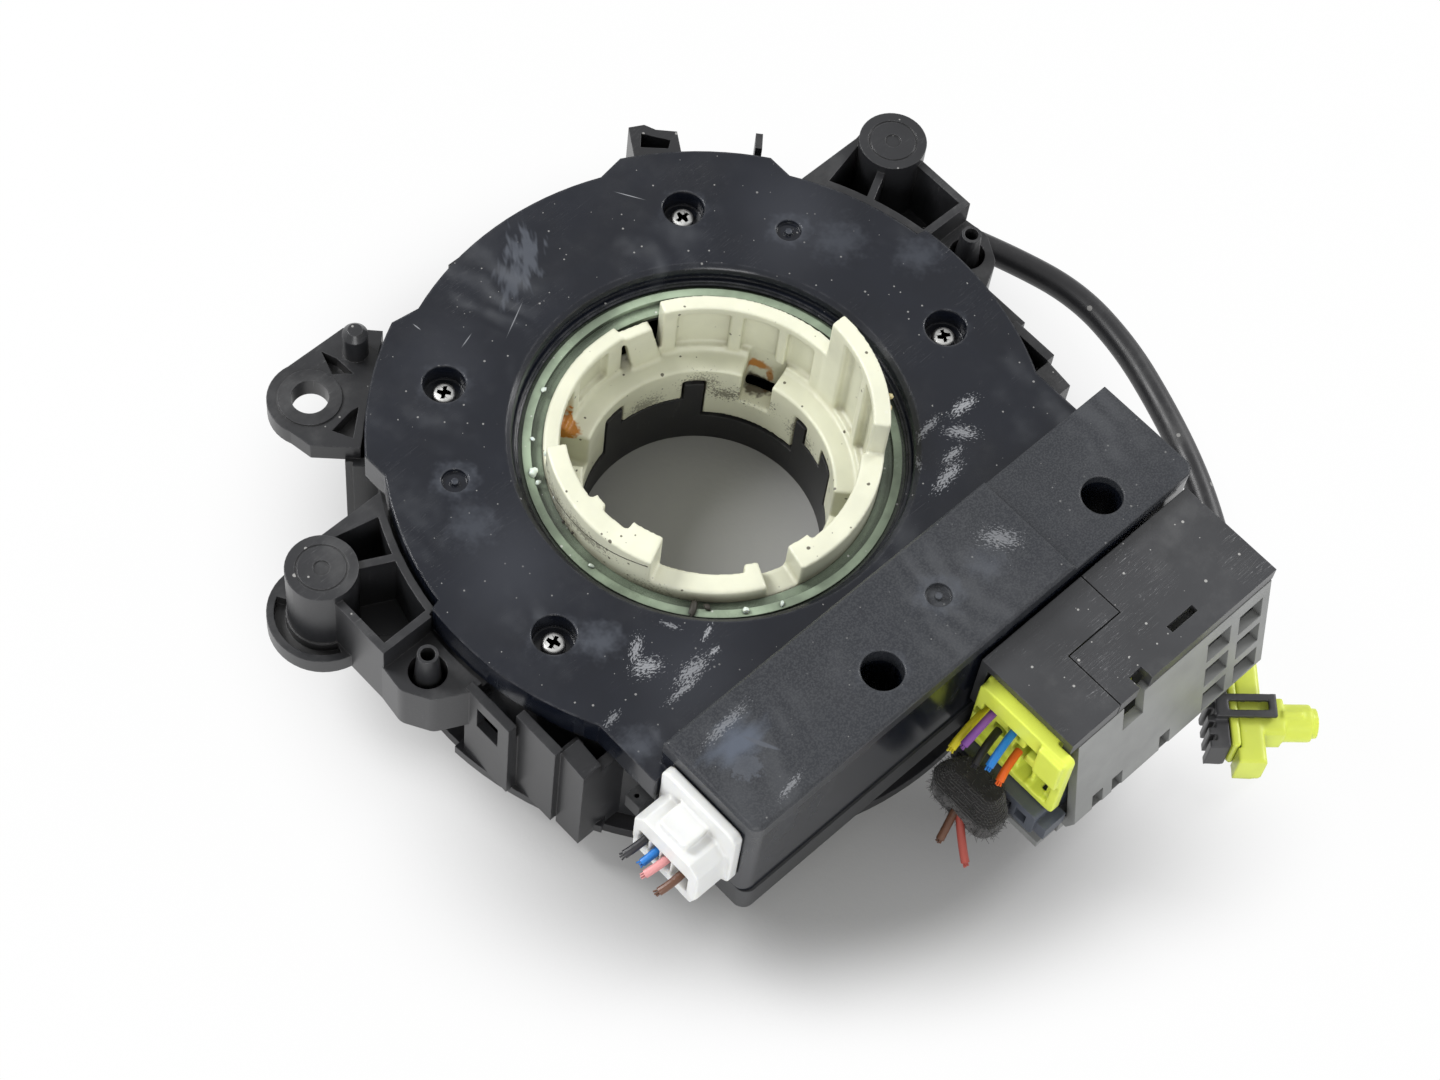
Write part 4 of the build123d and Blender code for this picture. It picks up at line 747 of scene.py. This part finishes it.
def loose(name: str, color: Colour, roughness: float, edge: float, softness: float = 0.0) -> Moulding:
    """Lint, grease or grit, with no wear, specks or scratches of its own."""
    return Moulding(
        name, color, roughness=roughness, edge=edge, softness=softness, wear=0.0, specks=0.0, scratches=0.0,
    )


LINT = loose("brown lint", (0.20, 0.15, 0.11), 0.8, 0.01)
GREASE = loose("pale grease", (0.62, 0.70, 0.62), 0.3, 0.05, 0.3)
SOOT = loose("dark grit", (0.03, 0.026, 0.018), 0.6, 0.03)
CREAM = loose("yellowed crumb", (0.60, 0.52, 0.28), 0.5, 0.05, 0.2)


def insulation(name: str, color: Colour) -> Moulding:
    """Coloured vinyl of a wire."""
    return Moulding(
        name, color, roughness=0.35, grain=0.02, film=0.02, specks=0.0, scratches=0.0, wear=0.0, dirt_and_shade=0.2,
        edge=0.1,
    )


WIRE_FINISHES = {
    "purple": insulation("purple vinyl", (0.22, 0.07, 0.33)),
    "yellow": insulation("yellow vinyl", (0.82, 0.70, 0.03)),
    "black": insulation("black vinyl", (0.02, 0.02, 0.024)),
    "blue": insulation("blue vinyl", (0.015, 0.21, 0.66)),
    "orange": insulation("orange vinyl", (0.86, 0.14, 0.015)),
    "pink": insulation("pink vinyl", (0.70, 0.30, 0.30)),
    "brown": insulation("brown vinyl", (0.13, 0.06, 0.035)),
    "red": insulation("red vinyl", (0.42, 0.08, 0.06)),
}

NODE_FINISHES = {
    "sensor_cover": COVER,
    "sensor_base": TRAY,
    "sensor_board": BOARD,
    "board_components": CHIP,
    "terminal_pins": TIN,
    "stator_housing": HOUSING,
    "spiral_cable": FILM_CABLE,
    "rotor_hub": HUB,
    "ring_gear": RING,
    "connector_base": PANEL,
    "connector_block": BLOCK,
    "connector_hood": BLOCK,
    "switch_plug": SLATE,
    "lead_grommet": RUBBER,
    "pinion_a": NYLON,
    "pinion_b": NYLON,
    "magnet_a": MAGNET,
    "magnet_b": MAGNET,
}


Finish = Union[Moulding, BareMetal, ClothTape]


class Finishes:
    """Keeps one material for each finish."""

    def __init__(self) -> None:
        """Starts with no materials."""
        self.made: Dict[str, bpy.types.Material] = {}

    def get(self, finish: Finish) -> bpy.types.Material:
        """The material of a finish, built at its first use."""
        if finish.name not in self.made:
            self.made[finish.name] = finish.material()
        return self.made[finish.name]


FINISHES = Finishes()


def dress(piece: bpy.types.Object, *finishes: Finish) -> None:
    """Gives a piece its materials.

    Args:
        piece: the mesh or curve object.
        finishes: one for each material slot.
    """
    piece.data.materials.clear()
    for finish in finishes:
        piece.data.materials.append(FINISHES.get(finish))


def piece_from(name: str, shape: bmesh.types.BMesh, smooth: float = 30.0) -> bpy.types.Object:
    """Turns a bmesh into a finished piece.

    Args:
        name: the piece's name.
        shape: its mesh, which is freed.
        smooth: edges sharper than this many degrees stay sharp.

    Returns:
        The new object, at the origin.
    """
    mesh = bpy.data.meshes.new(name)
    bmesh.ops.recalc_face_normals(shape, faces=shape.faces)
    shape.to_mesh(mesh)
    shape.free()
    mesh.shade_smooth()
    mesh.set_sharp_from_angle(angle=math.radians(smooth))
    piece = bpy.data.objects.new(name, mesh)
    bpy.context.scene.collection.objects.link(piece)
    return piece


def add_piece(
    piece: bpy.types.Object, body: Body, replaced: Sequence[str] = ()
) -> bpy.types.Object:
    """Puts a piece on its body and hides the solids that it stands for.

    Args:
        piece: the new piece.
        body: the body it rides on.
        replaced: CAD nodes that it replaces.

    Returns:
        The same piece.
    """
    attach(piece, body.value)
    if replaced:
        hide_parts(*replaced)
    LOG.info("%s: %d points, on %s", piece.name, len(getattr(piece.data, "vertices", ())), body.value)
    return piece


def in_metres(points: Sequence[Point]) -> List[Point]:
    """Points in millimetres as points in metres."""
    return [tuple(value * MM for value in point) for point in points]


def smooth_curve(name: str, points: Sequence[Point], radius: float, rings: int = 6) -> bpy.types.Object:
    """A round NURBS curve through its control points.

    Args:
        name: the curve's name.
        points: control points in metres.
        radius: the tube's radius in metres.
        rings: steps in each quarter of the section.

    Returns:
        The curve's object, linked to the scene.
    """
    data = bpy.data.curves.new(name, "CURVE")
    data.dimensions = "3D"
    data.bevel_depth = radius
    data.bevel_resolution = rings
    data.use_fill_caps = True
    spline = data.splines.new("NURBS")
    spline.points.add(len(points) - 1)
    for control, point in zip(spline.points, points):
        control.co = (*point, 1.0)
    spline.order_u = 3
    spline.use_endpoint_u = True
    spline.resolution_u = 10
    piece = bpy.data.objects.new(name, data)
    bpy.context.scene.collection.objects.link(piece)
    return piece


def curve_mesh(curve: bpy.types.Object) -> bpy.types.Mesh:
    """The mesh of a curve, whose object is removed."""
    bpy.context.view_layer.update()
    mesh = bpy.data.meshes.new_from_object(curve)
    bpy.data.objects.remove(curve)
    return mesh


@dataclass
class AirbagLead:
    """Free lead from the housing to the right-angle airbag plug."""

    route: Sequence[Point] = (
        (52.2, 33.2, 6.4),
        (63.0, 28.2, 5.6),
        (71.6, 19.8, 4.3),
        (78.6, 5.0, 3.0),
        (82.6, -8.2, 2.6),
        (81.2, -21.4, 2.6),
        (76.9, -34.4, 2.6),
        (71.8, -46.4, 2.6),
        (65.8, -56.6, 2.6),
        (59.3, -65.4, 2.7),
        (50.5, -75.15, 3.0),
    )
    radius: float = 2.4
    length: float = 129.5

    def build(self, plug: Sequence[bpy.types.Object]) -> None:
        """Args:
            plug: the pieces of the plug on its end; not used.
        """
        points = in_metres(self.route)
        lead = smooth_curve("airbag_lead", points, self.radius * MM)
        lead.data.splines[0].resolution_u = 16
        dress(lead, SHEATH)
        add_piece(lead, Body.STATOR, ["lead_sheath"])


@dataclass
class WireStubs:
    """Wires cut off short, each with its bare copper strands."""

    radius: float = 0.7
    strand_radius: float = 0.15
    strand_length: float = 0.8
    bared: float = 0.9
    stubs: Dict[str, Sequence[Point]] = field(default_factory=lambda: {
        "airbag_wire_purple": ((2.0, -61.9, 29.0), (-2.2, -62.4, 29.4), (-6.6, -62.6, 27.6)),
        "airbag_wire_yellow": ((2.0, -60.2, 26.4), (-3.0, -60.6, 27.0), (-7.6, -61.4, 26.0)),
        "airbag_wire_black": ((2.0, -63.4, 24.0), (-2.0, -64.0, 24.2), (-5.4, -65.2, 22.8)),
        "airbag_wire_blue": ((2.0, -65.9, 27.0), (-1.8, -66.6, 27.2), (-5.2, -67.4, 25.4)),
        "airbag_wire_orange": ((2.0, -67.9, 23.6), (-1.2, -68.4, 23.8), (-4.4, -69.6, 22.4)),
        "sensor_wire_black": ((-51.0, -41.3, 26.2), (-54.0, -41.4, 26.0), (-57.0, -40.6, 25.0)),
        "sensor_wire_blue": ((-51.0, -43.6, 25.2), (-53.6, -43.6, 25.0), (-55.6, -43.2, 24.2)),
        "sensor_wire_pink": ((-51.0, -45.9, 26.2), (-54.0, -45.8, 26.0), (-56.8, -45.0, 25.0)),
        "sensor_wire_brown": ((-51.0, -48.8, 25.2), (-53.8, -49.0, 25.0), (-56.8, -48.2, 24.0)),
        "switch_wire_brown": ((-7.4, -65.7, 12.6), (-10.4, -66.7, 11.5), (-13.2, -67.6, 10.0)),
        "switch_wire_red": ((-7.6, -66.6, 12.0), (-10.2, -69.8, 10.7), (-12.0, -73.2, 8.6)),
    })

    def strands(self, points: Sequence[Point], dice: random.Random) -> List[bpy.types.Mesh]:
        """Seven strands that stand out of the insulation's end.

        Args:
            points: the wire's control points in millimetres.
            dice: source of the small differences.

        Returns:
            One mesh for each strand.
        """
        end = Vector(points[-1])
        heading = (end - Vector(points[-2])).normalized()
        across = heading.orthogonal().normalized()
        meshes = []
        for index in range(7):
            turn = Matrix.Rotation(math.tau * index / 6, 3, heading)
            offset = turn @ across * (0.0 if index == 6 else 2.1 * self.strand_radius)
            reach = self.strand_length * dice.uniform(0.5, 1.0)
            splay = offset * dice.uniform(1.0, 1.9)
            run = [end + offset - heading * 0.6, end + offset, end + splay + heading * reach]
            meshes.append(curve_mesh(smooth_curve("strand", in_metres([tuple(p) for p in run]),
                                                  self.strand_radius * MM, 1)))
        return meshes

    def build(self) -> None:
        """Builds every stub."""
        dice = random.Random(SEED)
        for name, points in self.stubs.items():
            color = name.rsplit("_", 1)[1]
            shape = bmesh.new()
            end = Vector(points[-1])
            heading = (end - Vector(points[-2])).normalized()
            held = points[:-1] + (tuple(end - heading * self.bared),)
            shape.from_mesh(curve_mesh(smooth_curve(name, in_metres(held), self.radius * MM, 4)))
            covered = len(shape.faces)
            for mesh in self.strands(held, dice):
                shape.from_mesh(mesh)
            shape.faces.ensure_lookup_table()
            for face in shape.faces[covered:]:
                face.material_index = 1
            stub = piece_from(name + "_stub", shape)
            dress(stub, WIRE_FINISHES[color], COPPER)
            add_piece(stub, Body.STATOR, [name])


def rounded_copy(name: str, solid: bpy.types.Object, step: float, passes: int = 0) -> bpy.types.Object:
    """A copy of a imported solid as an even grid, smoothed.

    Args:
        name: the copy's name.
        solid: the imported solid.
        step: the grid's step in millimetres.
        passes: smoothing passes.

    Returns:
        The copy, with no modifiers left.
    """
    shape = bmesh.new()
    shape.from_mesh(solid.data)
    bmesh.ops.remove_doubles(shape, verts=shape.verts, dist=0.001 * MM)
    piece = piece_from(name, shape)
    grid = piece.modifiers.new("grid", "REMESH")
    grid.mode = "VOXEL"
    grid.voxel_size = step * MM
    if passes:
        soft = piece.modifiers.new("soft", "SMOOTH")
        soft.factor = 0.5
        soft.iterations = passes
    bpy.context.view_layer.update()
    mesh = bpy.data.meshes.new_from_object(piece.evaluated_get(bpy.context.evaluated_depsgraph_get()))
    piece.modifiers.clear()
    piece.data = mesh
    mesh.shade_smooth()
    return piece


@dataclass(frozen=True)
class SoftForm:
    """How a moulded solid is rounded: its slot, body, finish, grid step and smoothing passes."""

    node: str
    body: Body
    slot: str
    finish: Moulding
    step: float
    passes: int = 3

    def build(self, nodes: Dict[str, bpy.types.Object]) -> bpy.types.Object:
        """Builds the rounded piece, which stands for its node.

        Args:
            nodes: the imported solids.

        Returns:
            The new piece.
        """
        piece = rounded_copy(self.node + "_moulded", nodes[self.node], self.step, self.passes)
        dress(piece, self.finish)
        return add_piece(piece, self.body, [self.node])


SOFT_FORMS = (
    SoftForm("rotor_collar", Body.ROTOR, "rotor_plastic", IVORY, 0.33),
    SoftForm("airbag_plug", Body.STATOR, "yellow_plastic", YELLOW, 0.22),
    SoftForm("sensor_plug", Body.STATOR, "white_nylon", WHITE, 0.22),
    SoftForm("squib_plug", Body.STATOR, "yellow_plastic", YELLOW, 0.24),
    SoftForm("squib_cover", Body.STATOR, "yellow_plastic", YELLOW, 0.24),
    SoftForm("squib_lock", Body.STATOR, "lock_plastic", LOCK, 0.2, 2),
)


@dataclass
class CoverScrews:
    """Four zinc pan-head screws with a tapered cross recess."""

    circle: float = 43.6
    angles: Sequence[float] = (53.5, 126.5, -12.6, 192.6)
    turns: Sequence[float] = (0.0, 38.0, 62.0, 20.0)
    seat: float = 30.2
    head_radius: float = 1.95
    head_height: float = 1.3
    shank_radius: float = 1.1
    shank_length: float = 11.0
    wing: float = 1.12
    slot: float = 0.30
    recess: float = 0.75

    def outline(self) -> List[Point]:
        """Corners of the cross recess, in turn."""
        near, far = self.slot, self.wing
        quarter = [(far, -near), (far, near), (near, near)]
        corners = []
        for index in range(4):
            turn = Matrix.Rotation(math.radians(90 * index), 3, "Z")
            corners += [tuple(turn @ Vector((x, y, 0.0))) for x, y in quarter]
        return corners

    def screw(self, x: float, y: float, turn: float) -> bmesh.types.BMesh:
        """One screw.

        Args:
            x: its place across.
            y: its place along.
            turn: how far its cross is turned, in degrees.

        Returns:
            Its mesh, in metres.
        """
        shape = bmesh.new()
        top = self.seat + self.head_height
        cross = [shape.verts.new((px, py, top)) for px, py, _ in self.outline()]
        floor = shape.faces.new(cross)
        rim = bmesh.ops.create_circle(shape, segments=36, radius=self.head_radius - 0.6,
                                      matrix=Matrix.Translation((0.0, 0.0, top)))["verts"]
        inner = list(floor.edges)
        outer = list({edge for vert in rim for edge in vert.link_edges})
        bmesh.ops.bridge_loops(shape, edges=inner + outer)
        sunk = bmesh.ops.extrude_discrete_faces(shape, faces=[floor])["faces"][0]
        bmesh.ops.translate(shape, verts=sunk.verts, vec=(0.0, 0.0, -self.recess))
        bmesh.ops.scale(shape, verts=sunk.verts, vec=(0.62, 0.62, 1.0))
        end = self.seat - self.shank_length
        profile = [
            (self.head_radius - 0.25, top - 0.1), (self.head_radius - 0.04, top - 0.36),
            (self.head_radius, top - 0.62), (self.head_radius, self.seat), (self.shank_radius, self.seat),
            (self.shank_radius, end + 1.0), (0.15, end),
        ]
        loop = outer
        for radius, height in profile:
            made = bmesh.ops.extrude_edge_only(shape, edges=loop)["geom"]
            ring = [item for item in made if isinstance(item, bmesh.types.BMVert)]
            loop = [item for item in made if isinstance(item, bmesh.types.BMEdge)
                    and all(vert in ring for vert in item.verts)]
            for vert in ring:
                flat = Vector((vert.co.x, vert.co.y)).normalized() * radius
                vert.co = (flat.x, flat.y, height)
        bmesh.ops.contextual_create(shape, geom=loop)
        matrix = Matrix.Translation((x, y, 0.0)) @ Matrix.Rotation(math.radians(turn), 4, "Z")
        bmesh.ops.transform(shape, matrix=Matrix.Scale(MM, 4) @ matrix, verts=shape.verts)
        return shape

    def build(self) -> None:
        """Builds the four screws as one piece."""
        whole = bmesh.new()
        for angle, turn in zip(self.angles, self.turns):
            x = self.circle * math.cos(math.radians(angle))
            y = self.circle * math.sin(math.radians(angle))
            mesh = bpy.data.meshes.new("screw")
            single = self.screw(x, y, turn)
            single.to_mesh(mesh)
            single.free()
            whole.from_mesh(mesh)
        screws = piece_from("cover_screws_detailed", whole, 38.0)
        dress(screws, ZINC)
        add_piece(screws, Body.STATOR, ["cover_screws"])


@dataclass
class TapeBundle:
    """Cloth-taped stump of the harness, lumpy and full of lint."""

    step: float = 0.32
    lump: float = 0.32
    fibres: int = 900
    fibre_radius: float = 0.06
    fibre_reach: float = 1.2

    def fibre(self, shape: bmesh.types.BMesh, root: Vector, out: Vector, dice: random.Random) -> None:
        """Adds one curled lint fibre.

        Args:
            shape: the mesh it joins.
            root: where it starts.
            out: the surface's direction there.
            dice: source of its curl.
        """
        way = (out + Vector([dice.uniform(-1.2, 1.2) for _ in range(3)])).normalized()
        bend = Vector([dice.uniform(-1.0, 1.0) for _ in range(3)])
        reach = self.fibre_reach * dice.uniform(0.3, 1.0) * MM / 3
        turn = way.to_track_quat("Z", "Y").to_matrix().to_4x4()
        bmesh.ops.create_circle(shape, cap_ends=True, segments=3, radius=self.fibre_radius * MM,
                                matrix=Matrix.Translation(root) @ turn)
        shape.faces.ensure_lookup_table()
        tip = shape.faces[-1]
        for _ in range(3):
            tip = bmesh.ops.extrude_discrete_faces(shape, faces=[tip])["faces"][0]
            middle = tip.calc_center_median()
            for vert in tip.verts:
                vert.co = middle + (vert.co - middle) * 0.75 + way * reach
            way = (way + bend * 0.35).normalized()

    def build(self, nodes: Dict[str, bpy.types.Object]) -> None:
        """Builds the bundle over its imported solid.

        Args:
            nodes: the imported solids.
        """
        bundle = rounded_copy("tape_bundle_lumpy", nodes["tape_bundle"], self.step)
        shape = bmesh.new()
        shape.from_mesh(bundle.data)
        bmesh.ops.smooth_vert(
            shape, verts=shape.verts, factor=0.5, use_axis_x=True, use_axis_y=True, use_axis_z=True
        )
        shape.normal_update()
        dice = random.Random(SEED)
        for vert in shape.verts:
            coarse = noise.noise(vert.co * 420.0)
            fine = noise.noise(vert.co * 1500.0)
            vert.co -= vert.normal * (0.5 - 0.5 * coarse - 0.3 * fine) * self.lump * MM
        lint = bmesh.new()
        for face in dice.sample(list(shape.faces), min(self.fibres, len(shape.faces))):
            self.fibre(lint, face.calc_center_median(), face.normal.copy(), dice)
        bmesh.ops.recalc_face_normals(lint, faces=lint.faces)
        fibres = bpy.data.meshes.new("lint")
        lint.to_mesh(fibres)
        lint.free()
        taped = len(shape.faces)
        shape.from_mesh(fibres)
        shape.faces.ensure_lookup_table()
        for face in shape.faces[taped:]:
            face.material_index = 1
        mesh = bpy.data.meshes.new("tape_bundle_lumpy")
        shape.to_mesh(mesh)
        shape.free()
        mesh.shade_smooth()
        bundle.data = mesh
        dress(bundle, TAPE, LINT)
        add_piece(bundle, Body.STATOR, ["tape_bundle"])


@dataclass(frozen=True)
class Crumb:
    """One crumb of plastic, grease or grit: place and size in millimetres."""

    place: Point
    size: Point
    finish: Moulding


@dataclass
class RotorDebris:
    """Seam line on the collar's lip and the crumbs caught on the rotor."""

    seam_radius: float = 27.0
    seam: Sequence[Tuple[float, float]] = (
        (150.0, 29.5), (157.0, 30.6), (164.0, 32.0), (172.0, 32.8), (181.0, 33.7), (188.0, 34.5),
        (194.0, 35.1), (199.0, 35.7), (204.0, 36.1),
    )
    seam_width: float = 0.11
    crumbs: Sequence[Crumb] = field(default_factory=lambda: (
        Crumb((-24.6, 15.2, 30.7), (0.9, 0.7, 0.6), GREASE),
        Crumb((-25.2, 13.4, 30.6), (0.5, 0.4, 0.3), GREASE),
        Crumb((-21.9, -18.8, 30.5), (1.5, 0.6, 0.5), SOOT),
        Crumb((-20.2, -20.2, 30.4), (0.7, 0.5, 0.4), SOOT),
        Crumb((-16.1, -24.6, 30.6), (0.6, 0.5, 0.5), GREASE),
        Crumb((-22.0, 15.2, 33.5), (0.55, 0.4, 0.45), GREASE),
        Crumb((25.9, -6.6, 42.3), (0.6, 0.35, 0.4), CREAM),
        Crumb((26.2, -4.6, 42.1), (0.5, 0.35, 0.4), CREAM),
        Crumb((22.3, -15.6, 41.8), (0.5, 0.7, 0.6), CREAM),
        Crumb((21.8, -16.2, 39.6), (0.6, 0.6, 0.5), CREAM),
        Crumb((22.6, -15.2, 37.6), (0.4, 0.5, 0.4), CREAM),
        Crumb((-24.9, 9.6, 30.6), (0.5, 0.35, 0.3), GREASE),
        Crumb((-26.9, 5.6, 30.4), (0.3, 0.3, 0.3), SOOT),
        Crumb((-27.2, 3.2, 30.4), (0.28, 0.28, 0.25), SOOT),
        Crumb((-28.9, -3.0, 30.5), (0.35, 0.5, 0.3), GREASE),
        Crumb((-11.0, -27.4, 30.5), (0.5, 0.3, 0.3), GREASE),
        Crumb((28.0, -9.0, 30.5), (0.4, 0.4, 0.3), GREASE),
        Crumb((26.6, -12.8, 30.5), (0.4, 0.3, 0.3), GREASE),
        Crumb((-20.6, 19.9, 30.5), (0.4, 0.3, 0.25), GREASE),
        Crumb((-13.2, 25.6, 30.5), (0.5, 0.4, 0.25), GREASE),
    ))

    def build(self) -> None:
        """Builds the seam and the crumbs, which turn with the rotor."""
        points = []
        for angle, height in self.seam:
            turn = math.radians(angle)
            points.append((self.seam_radius * math.cos(turn), self.seam_radius * math.sin(turn), height))
        shape = bmesh.new()
        shape.from_mesh(curve_mesh(smooth_curve("seam", in_metres(points), self.seam_width * MM, 2)))
        seam = piece_from("collar_seam_line", shape)
        dress(seam, SOOT)
        add_piece(seam, Body.ROTOR)
        dice = random.Random(SEED)
        for index, crumb in enumerate(self.crumbs):
            dress(self.lump(f"rotor_crumb_{index}", crumb, dice), crumb.finish)

    def lump(self, name: str, crumb: Crumb, dice: random.Random) -> bpy.types.Object:
        """One crumb with an uneven surface.

        Args:
            name: the piece's name.
            crumb: its place, size and finish.
            dice: source of its shape.

        Returns:
            The crumb's object.
        """
        shape = bmesh.new()
        bmesh.ops.create_icosphere(shape, subdivisions=2, radius=1.0)
        shift = Vector([dice.uniform(-9.0, 9.0) for _ in range(3)])
        for vert in shape.verts:
            vert.co *= 1.0 + 0.45 * noise.noise(vert.co * 1.6 + shift)
        size = Matrix.Diagonal((*[value * MM for value in crumb.size], 1.0))
        spin = Matrix.Rotation(dice.uniform(0.0, math.tau), 4, "Z")
        where = Matrix.Translation([value * MM for value in crumb.place])
        bmesh.ops.transform(shape, matrix=where @ spin @ size, verts=shape.verts)
        return add_piece(piece_from(name, shape, 50.0), Body.ROTOR)


@dataclass
class Studio:
    """Floor, lamps and the camera at the photograph's viewing angle."""

    lens: float = 82.555
    sensor: float = 36.0
    place: Point = (-0.206633, -0.170955, 0.481147)
    right: Point = (0.72606615, -0.68339693, 0.07613529)
    down: Point = (-0.57325131, -0.66272482, -0.48184929)
    ahead: Point = (0.37975108, 0.3062098, -0.87294025)
    floor_half: float = 1.6
    world_strength: float = 0.62
    lamps: Sequence[Tuple[str, Point, float, float]] = (
        ("back lamp", (-0.30, 0.62, 0.72), 7.2, 0.3),
        ("right lamp", (0.85, -0.20, 0.55), 4.4, 0.3),
        ("front lamp", (-0.62, -0.62, 0.42), 3.6, 0.4),
    )

    def camera(self) -> None:
        """Places the camera."""
        data = bpy.data.cameras.new("camera")
        data.lens = self.lens
        data.sensor_width = self.sensor
        data.clip_start = 0.01
        data.clip_end = 20.0
        camera = bpy.data.objects.new("camera", data)
        axes = Matrix((self.right, tuple(-v for v in self.down), tuple(-v for v in self.ahead))).transposed()
        camera.matrix_world = Matrix.Translation(self.place) @ axes.to_4x4()
        bpy.context.scene.collection.objects.link(camera)
        bpy.context.scene.camera = camera

    def reach(self, graph: Graph, where: Value, centre: Tuple[float, float], angle: float,
              size: Tuple[float, float]) -> bpy.types.NodeSocket:
        """Distance from a place on the floor, as a share of a turned ellipse's half sizes.

        Args:
            graph: the floor's graph.
            where: its coordinates.
            centre: the place, in metres.
            angle: the turn of the ellipse, in degrees.
            size: its half sizes, in metres.

        Returns:
            The socket of the share.
        """
        placed = graph.node("Mapping", {"Vector": where}, vector_type="TEXTURE")
        placed.inputs["Location"].default_value = (*centre, 0.0)
        placed.inputs["Rotation"].default_value = (0.0, 0.0, math.radians(angle))
        placed.inputs["Scale"].default_value = (*size, 1.0)
        made = graph.node("VectorMath", {"Vector": placed.outputs[0]}, operation="LENGTH")
        return made.outputs["Value"]

    def floor(self) -> None:
        """Pale floor that turns to white away from the object, with a faint paper tooth, painted shade under
        the object and a painted shadow in front of it.
        """
        shape = bmesh.new()
        bmesh.ops.create_grid(shape, x_segments=2, y_segments=2, size=self.floor_half)
        floor = piece_from("floor", shape)
        material, graph, shader = new_material("pale floor")
        where = graph.node("TexCoord").outputs["Object"]
        tooth = graph.noise(where, 900.0, 3.0)
        # Painted shade: within 35 mm of the centre, under the object, the floor is darker and has no glow;
        # this clears by 85 mm.
        clear = graph.between(self.reach(graph, where, (0.0, 0.0), 0.0, (1.0, 1.0)), 0.035, 0.085)
        # Painted shadow: a turned ellipse in front of the object where its shadow falls, darker in colour.
        shade = graph.between(self.reach(graph, where, (-0.022, -0.058), -37.6, (0.084, 0.035)), 1.0, 0.25)
        floor_colour_with_painted_shadow = graph.blend(shade, (0.60, 0.60, 0.605), (0.34, 0.34, 0.34))
        graph.feed(shader.inputs["Base Color"], graph.blend(clear, (0.34, 0.34, 0.335), floor_colour_with_painted_shadow))
        shader.inputs["Roughness"].default_value = 0.8
        bump = graph.node("Bump", {"Strength": 0.15, "Distance": 0.2 * MM, "Height": tooth})
        graph.feed(shader.inputs["Normal"], bump.outputs[0])
        glow = graph.node("Emission", {"Strength": 1.0})
        mix = graph.node("MixShader")
        paths = graph.node("LightPath")
        seen = graph.math("MAXIMUM", paths.outputs["Is Camera Ray"], paths.outputs["Is Glossy Ray"])
        seen = graph.math("MAXIMUM", seen, paths.outputs["Is Transmission Ray"])
        # The painted shadow also takes most of the white glow away there.
        lit = graph.math("SUBTRACT", 0.97, graph.scaled(shade, 0.88))
        glowing = graph.scaled(clear, lit)
        share = graph.scaled(seen, glowing)
        graph.feed(mix.inputs[0], share)
        graph.feed(mix.inputs[1], shader.outputs[0])
        graph.feed(mix.inputs[2], glow.outputs[0])
        output = material.node_tree.nodes["Material Output"]
        graph.feed(output.inputs["Surface"], mix.outputs[0])
        floor.data.materials.append(material)

    def lamp(self, name: str, place: Point, power: float, size: float) -> None:
        """A soft square lamp that looks at the object.

        Args:
            name: the lamp's name.
            place: where it stands, in metres.
            power: its power in watts.
            size: the side of its square in metres.
        """
        data = bpy.data.lights.new(name, "AREA")
        data.energy = power
        data.size = size
        lamp = bpy.data.objects.new(name, data)
        lamp.location = place
        lamp.rotation_euler = (-Vector(place)).to_track_quat("-Z", "Y").to_euler()
        bpy.context.scene.collection.objects.link(lamp)

    def world(self) -> None:
        """White surroundings."""
        world = bpy.data.worlds.new("surroundings")
        world.use_nodes = True
        bpy.context.scene.world = world
        back = world.node_tree.nodes["Background"]
        back.inputs["Color"].default_value = (1.0, 1.0, 1.0, 1.0)
        back.inputs["Strength"].default_value = self.world_strength

    def build(self) -> None:
        """Builds the whole studio."""
        scene = bpy.context.scene
        scene.view_settings.view_transform = "Standard"
        self.camera()
        self.floor()
        self.world()
        for name, place, power, size in self.lamps:
            self.lamp(name, place, power, size)


def main() -> None:
    """Loads the frame, builds the pieces in order and dresses every solid."""
    logging.basicConfig(level=logging.INFO, format="%(name)s %(message)s")
    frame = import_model()
    nodes = frame["nodes"]
    Studio().build()
    moulded = {form.node: form.build(nodes) for form in SOFT_FORMS}
    AirbagLead().build([moulded[name] for name in ("squib_plug", "squib_cover", "squib_lock")])
    WireStubs().build()
    CoverScrews().build()
    TapeBundle().build(nodes)
    RotorDebris().build()
    for name, finish in NODE_FINISHES.items():
        dress(nodes[name], finish)


if __name__ == "__main__":
    main()
